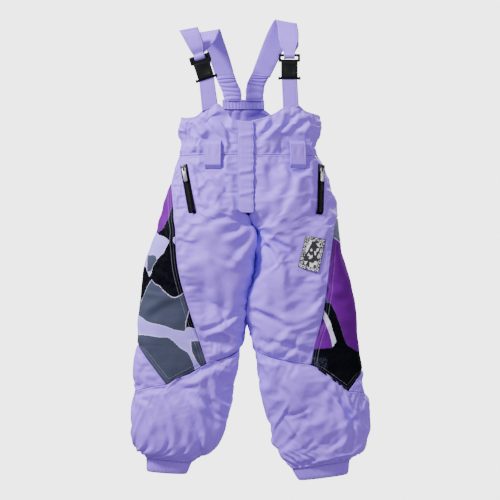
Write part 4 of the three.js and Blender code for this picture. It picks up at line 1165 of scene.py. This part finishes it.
for word, way in strap_ways.items():
    gather = stations_of(way["gather"])
    points = gather_grid(gather, 72, 48)
    points = turned_to(points, points - points.mean(1, keepdims=True))
    piece = grid_piece(f"gathered_strap_{word}", points, wraps=True)
    make_cloth(piece, shell, [f"strap_gather_{word}"], "torso",
               0.0009, False)
    narrow = [[np.array(a) * share + np.array(b) * (1 - share) for share in (0.86, 0.14)] for a, b in gather]
    piece = grid_piece(f"back_elastic_{word}", strap_grid(narrow, 40, 8)[1:-1])
    make_cloth(piece, elastic, [f"strap_elastic_{word}"], "torso",
               0.0012, False)
    ladder = ladder_turn(word, way["tail_side"])
    stations = stations_of(way["fold"]) + ladder + stations_of(way["tail"])
    piece = ribbon_piece(f"shoulder_strap_{word}", strap_grid(stations, 190))
    strap = make_cloth(piece, shell, [f"strap_{word}"], ("torso", f"plug_{word}"),
                       0.0021, False)
    strap.update(centred=True, bends=((0, 0.024, 0), (0, -0.026, 0)))
    round_bar = np.array([(-0.0155, -0.0006, -0.0172), (0.0155, -0.0006, -0.0172)])
    start = in_frame(buckle_matrix(word), round_bar).tolist()
    piece = ribbon_piece(f"bib_strap_{word}", strap_grid([start] + stations_of(way["foot"]), 40), 0.0002)
    strap = make_cloth(piece, shell, [f"strap_lower_{word}"], "torso",
                       0.0022, False)
    strap.update(centred=True)

# --- Buckles -------------------------------------------------------------------------------------
# Black moulded side-release buckles. The socket hangs by a knobbed bar from the bib strap, and the plug
# clips into it with two spring arms and carries the ladder frame that the shoulder strap passes through.

ladder_size, ladder_rim, ladder_middle = (0.0428, 0.0056, 0.0156), 0.0047, 0.0235
foot_bar_length, foot_bar_radius, foot_bar_height = 0.0385, 0.0026, -0.0171


def rounded_off(piece, width, angle, matrix, height):
    """Bevels a moulded piece's edges and seats it at a height in its buckle."""
    rounding = piece.modifiers.new("Rounding", "BEVEL")
    rounding.width, rounding.segments = width, 3
    rounding.limit_method, rounding.angle_limit = "ANGLE", math.radians(angle)
    apply_all(piece)
    piece.data.transform(Matrix(matrix.tolist()) @ Matrix.Translation((0, 0, height)))
    bpy.ops.object.shade_smooth_by_angle(angle=math.radians(38))
    return piece


def ladder_frame(name, matrix):
    """A block with a slot through it, made from a cube whose front and back are inset and bridged."""
    bpy.ops.mesh.primitive_cube_add(size=1, location=(0, 0, 0))
    piece = bpy.context.active_object
    piece.name = name
    piece.scale = ladder_size
    bpy.ops.object.transform_apply(location=False, rotation=False, scale=True)
    for polygon in piece.data.polygons:
        polygon.select = abs(polygon.normal.y) > 0.9
    for thing in (*piece.data.edges, *piece.data.vertices):
        thing.select = False
    bpy.ops.object.mode_set(mode="EDIT")
    bpy.ops.mesh.select_mode(type="FACE")
    bpy.ops.mesh.inset(thickness=ladder_rim, use_individual=True)
    bpy.ops.mesh.bridge_edge_loops()
    bpy.ops.object.mode_set(mode="OBJECT")
    return rounded_off(piece, 0.0012, 30, matrix, ladder_middle)


def knobbed_bar(name, matrix):
    """The bar across the socket's foot, which the bib strap hangs from, with a round knob at each end."""
    bpy.ops.mesh.primitive_cylinder_add(vertices=24, radius=foot_bar_radius, depth=foot_bar_length,
                                        location=(0, 0, 0), rotation=(0, math.pi / 2, 0))
    piece = bpy.context.active_object
    piece.name = name
    bpy.ops.object.transform_apply(location=False, rotation=True, scale=False)
    bpy.ops.object.mode_set(mode="EDIT")
    bpy.ops.mesh.select_mode(type="FACE")
    bpy.ops.mesh.select_all(action="DESELECT")
    bpy.ops.object.mode_set(mode="OBJECT")
    for polygon in piece.data.polygons:
        polygon.select = abs(polygon.normal.x) > 0.9
    bpy.ops.object.mode_set(mode="EDIT")
    bpy.ops.mesh.extrude_region_shrink_fatten(TRANSFORM_OT_shrink_fatten={"value": 0.0001})
    bpy.ops.transform.resize(value=(1, 1.3, 1.3), center_override=(0, 0, 0))
    bpy.ops.mesh.extrude_region_shrink_fatten(TRANSFORM_OT_shrink_fatten={"value": 0.0030})
    bpy.ops.object.mode_set(mode="OBJECT")
    return rounded_off(piece, 0.0010, 50, matrix, foot_bar_height)


buckle_black = plastic_material("black_acetal", rgb(2, 3, 6), rgb(10, 11, 16), 0.34, Specular_IOR_Level=0.25)
for word in ("right", "left"):
    bodies = {"buckle_socket": "torso", "buckle_plug": f"plug_{word}",
              "buckle_arm_inner": f"arm_inner_{word}", "buckle_arm_outer": f"arm_outer_{word}"}
    for node, body in bodies.items():
        piece = finished_copy(f"{node}_{word}", f"{node}_{word}_moulded", 0.00045, node != "buckle_plug")
        piece.data.materials.append(buckle_black)
        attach(piece, body)
    matrix = buckle_matrix(word)
    frame_piece = ladder_frame(f"ladder_frame_{word}", matrix)
    foot_bar = knobbed_bar(f"socket_foot_bar_{word}", matrix)
    for piece, body in ((frame_piece, f"plug_{word}"), (foot_bar, "torso")):
        piece.data.materials.append(buckle_black)
        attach(piece, body)

# --- Label ---------------------------------------------------------------------------------------
# A woven patch sewn aslant on the left thigh, with an abstract black and white pattern and no words.


def label_material():
    cloth = Finish("woven_label", IOR=1.5, Sheen_Weight=0.15)
    u, v, vector = cloth.cloth_place()
    (x, _, z), place = cloth.object_place()
    sides, ends = cloth.attribute("side_edge"), cloth.attribute("end_edge")
    border = lesser(sides, ends)
    specks = cloth.noise(place, 420, 3, 0.65).above(0.54, 0.02)
    zigzag = (v * 160 + (u * 320).sine() * 2.2).sine()
    shards = cloth.noise(place, 120, 2).above(0.5, 0.012) * zigzag.above(-0.3, 0.1)
    inner = border.above(0.0075, 0.0004)
    white, black = rgb(232, 230, 240), rgb(16, 16, 22)
    colour = cloth.blend(specks * (1 - inner) + shards * inner, black, white)
    threads = (u * 9000).sine() * 0.5 + (v * 7000).sine() * 0.5
    colour = cloth.blend(border.below(0.0011, 0.0003), colour, black)
    height = threads * 0.08 - border.near(0.0022, 0.0004) * 0.3
    return cloth.finish(colour, threads * 0.05 + 0.6, height, 0.001)


across, down = mesh_grid(30, 20)
left_x, left_z = 0.150 - 0.015 * down, -0.447 - 0.067 * down
right_x, right_z = 0.110 - 0.015 * down, -0.439 - 0.063 * down
x, z = left_x + across * (right_x - left_x), left_z + across * (right_z - left_z)
low = np.minimum(z, -0.40)
points = trouser_point(1, z, turn_at_x(torso[1], np.maximum(z, -0.46), x), turn_at_x(leg[1], low, x), -0.0022)
points = turned_to(points, forwards)
patch = grid_piece("woven_patch", points)
make_cloth(patch, label_material(), ["label_patch"], ("torso", "leg_left"),
           0.0010, False)

# --- Settling the cloth --------------------------------------------------------------------------
# The sewn panels are cut a little fuller than the garment's shape, so the slack between their seams
# crumples. Their borders, and the places where something is sewn on, stay where they are.


slack, furthest, settling_frames = 0.11, 0.009, 18


def pin_borders(piece):
    """Weights of 1 at the seams and under what is sewn on, easing to 0 away from them."""
    mesh = piece.data
    values = {}
    for name in ("side_edge", "end_edge"):
        values[name] = np.zeros(len(mesh.vertices), np.float32)
        mesh.attributes[name].data.foreach_get("value", values[name])
    points = np.array([v.co for v in mesh.vertices])
    sides = values["side_edge"]
    if piece.name.startswith("lower_leg"):
        sides = sides + 1
    held = np.maximum(ease(np.minimum(sides, values["end_edge"]), 0.006, 0.001), flattened(points))
    group = piece.vertex_groups.new(name="held")
    for i, weight in enumerate(held):
        if weight > 0.01:
            group.add([i], float(weight), "REPLACE")
    return points


def start_cloth(piece):
    points = pin_borders(piece)
    cloth = piece.modifiers.new("Cloth", "CLOTH")
    set_up = cloth.settings
    set_up.quality = 4
    set_up.mass = 0.25
    set_up.tension_stiffness = set_up.compression_stiffness = 12
    set_up.shear_stiffness = 6
    set_up.bending_stiffness = 0.06
    set_up.vertex_group_mass = "held"
    set_up.shrink_min = -slack
    set_up.use_pressure = True
    set_up.uniform_pressure_force = 0.35
    set_up.effector_weights.gravity = 0.0
    cloth.collision_settings.use_collision = False
    return points


def stop_cloth(piece, before, most):
    """Takes the settled shape, with no point further than most from where it started."""
    shown = piece.evaluated_get(bpy.context.evaluated_depsgraph_get())
    after = np.array([v.co for v in shown.data.vertices])
    piece.modifiers.clear()
    piece.vertex_groups.clear()
    moved = after - before
    length = np.maximum(np.linalg.norm(moved, axis=1, keepdims=True), 1e-9)
    settled = before + moved * np.tanh(length / most) * most / length
    piece.data.vertices.foreach_set("co", settled.astype(np.float32).ravel())
    piece.data.update()


loose = [entry["piece"] for entry in fabric if entry["settles"]]
starts = [start_cloth(piece) for piece in loose]
for step in range(1, settling_frames + 1):
    bpy.context.scene.frame_set(step)
bpy.context.view_layer.update()
for piece, before in zip(loose, starts):
    stop_cloth(piece, before, furthest)
bpy.context.scene.frame_set(1)

# --- Thickness -----------------------------------------------------------------------------------
# Each panel gets its padded thickness inwards. The trouser panels that span the torso and a leg, and the
# shoulder straps that span the torso and a buckle's plug, are left in place; the rest are attached to their
# bodies.

for entry in fabric:
    piece = entry["piece"]
    if entry["settles"]:
        smooth = piece.modifiers.new("Smooth", "SUBSURF")
        smooth.levels = smooth.render_levels = 1
    solid = piece.modifiers.new("Thickness", "SOLIDIFY")
    solid.thickness = entry["thickness"]
    solid.offset = 0 if entry["centred"] else -1
    apply_all(piece)
    piece.data.shade_smooth()
    if isinstance(entry["body"], tuple):
        start, end = entry.get("bends", ((0, 0, -0.400), (0, 0, -0.520)))
        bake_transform(piece)
    else:
        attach(piece, entry["body"])

# --- Camera and light ----------------------------------------------------------------------------
# A white surround that lights the garment weakly and shows brighter behind it, a light from the upper
# left that rakes across the folds, one from behind, and a weak fill.

world = bpy.data.worlds.new("surround")
world.use_nodes = True
surround = world.node_tree.nodes["Background"]
surround.inputs["Color"].default_value = (1, 1, 1, 1)
seen = world.node_tree.nodes.new("ShaderNodeLightPath")
strength = world.node_tree.nodes.new("ShaderNodeMapRange")
strength.inputs["To Min"].default_value, strength.inputs["To Max"].default_value = 0.5, 4.0
world.node_tree.links.new(seen.outputs["Is Camera Ray"], strength.inputs["Value"])
world.node_tree.links.new(strength.outputs["Result"], surround.inputs["Strength"])
bpy.context.scene.world = world


def area_light(name, place, target, size, energy):
    light = bpy.data.lights.new(name, "AREA")
    light.shape, light.size, light.energy = "DISK", size, energy
    lamp = bpy.data.objects.new(name, light)
    lamp.location = place
    lamp.rotation_euler = (Vector(target) - Vector(place)).to_track_quat("-Z", "Y").to_euler()
    bpy.context.scene.collection.objects.link(lamp)


area_light("key", (-1.5, -1.05, 1.15), (0, 0, -0.45), 0.5, 130)
area_light("back", (1.3, 1.7, 0.9), (0, 0, -0.45), 1.0, 60)
area_light("fill", (1.6, -2.2, 0.2), (0, 0, -0.5), 1.8, 18)

camera_data = bpy.data.cameras.new("camera")
camera_data.lens, camera_data.sensor_width = 85, 36
camera = bpy.data.objects.new("camera", camera_data)
camera.location = (0, -2.391, -0.468)
camera.rotation_euler = (math.radians(90), 0, 0)
bpy.context.scene.collection.objects.link(camera)
bpy.context.scene.camera = camera
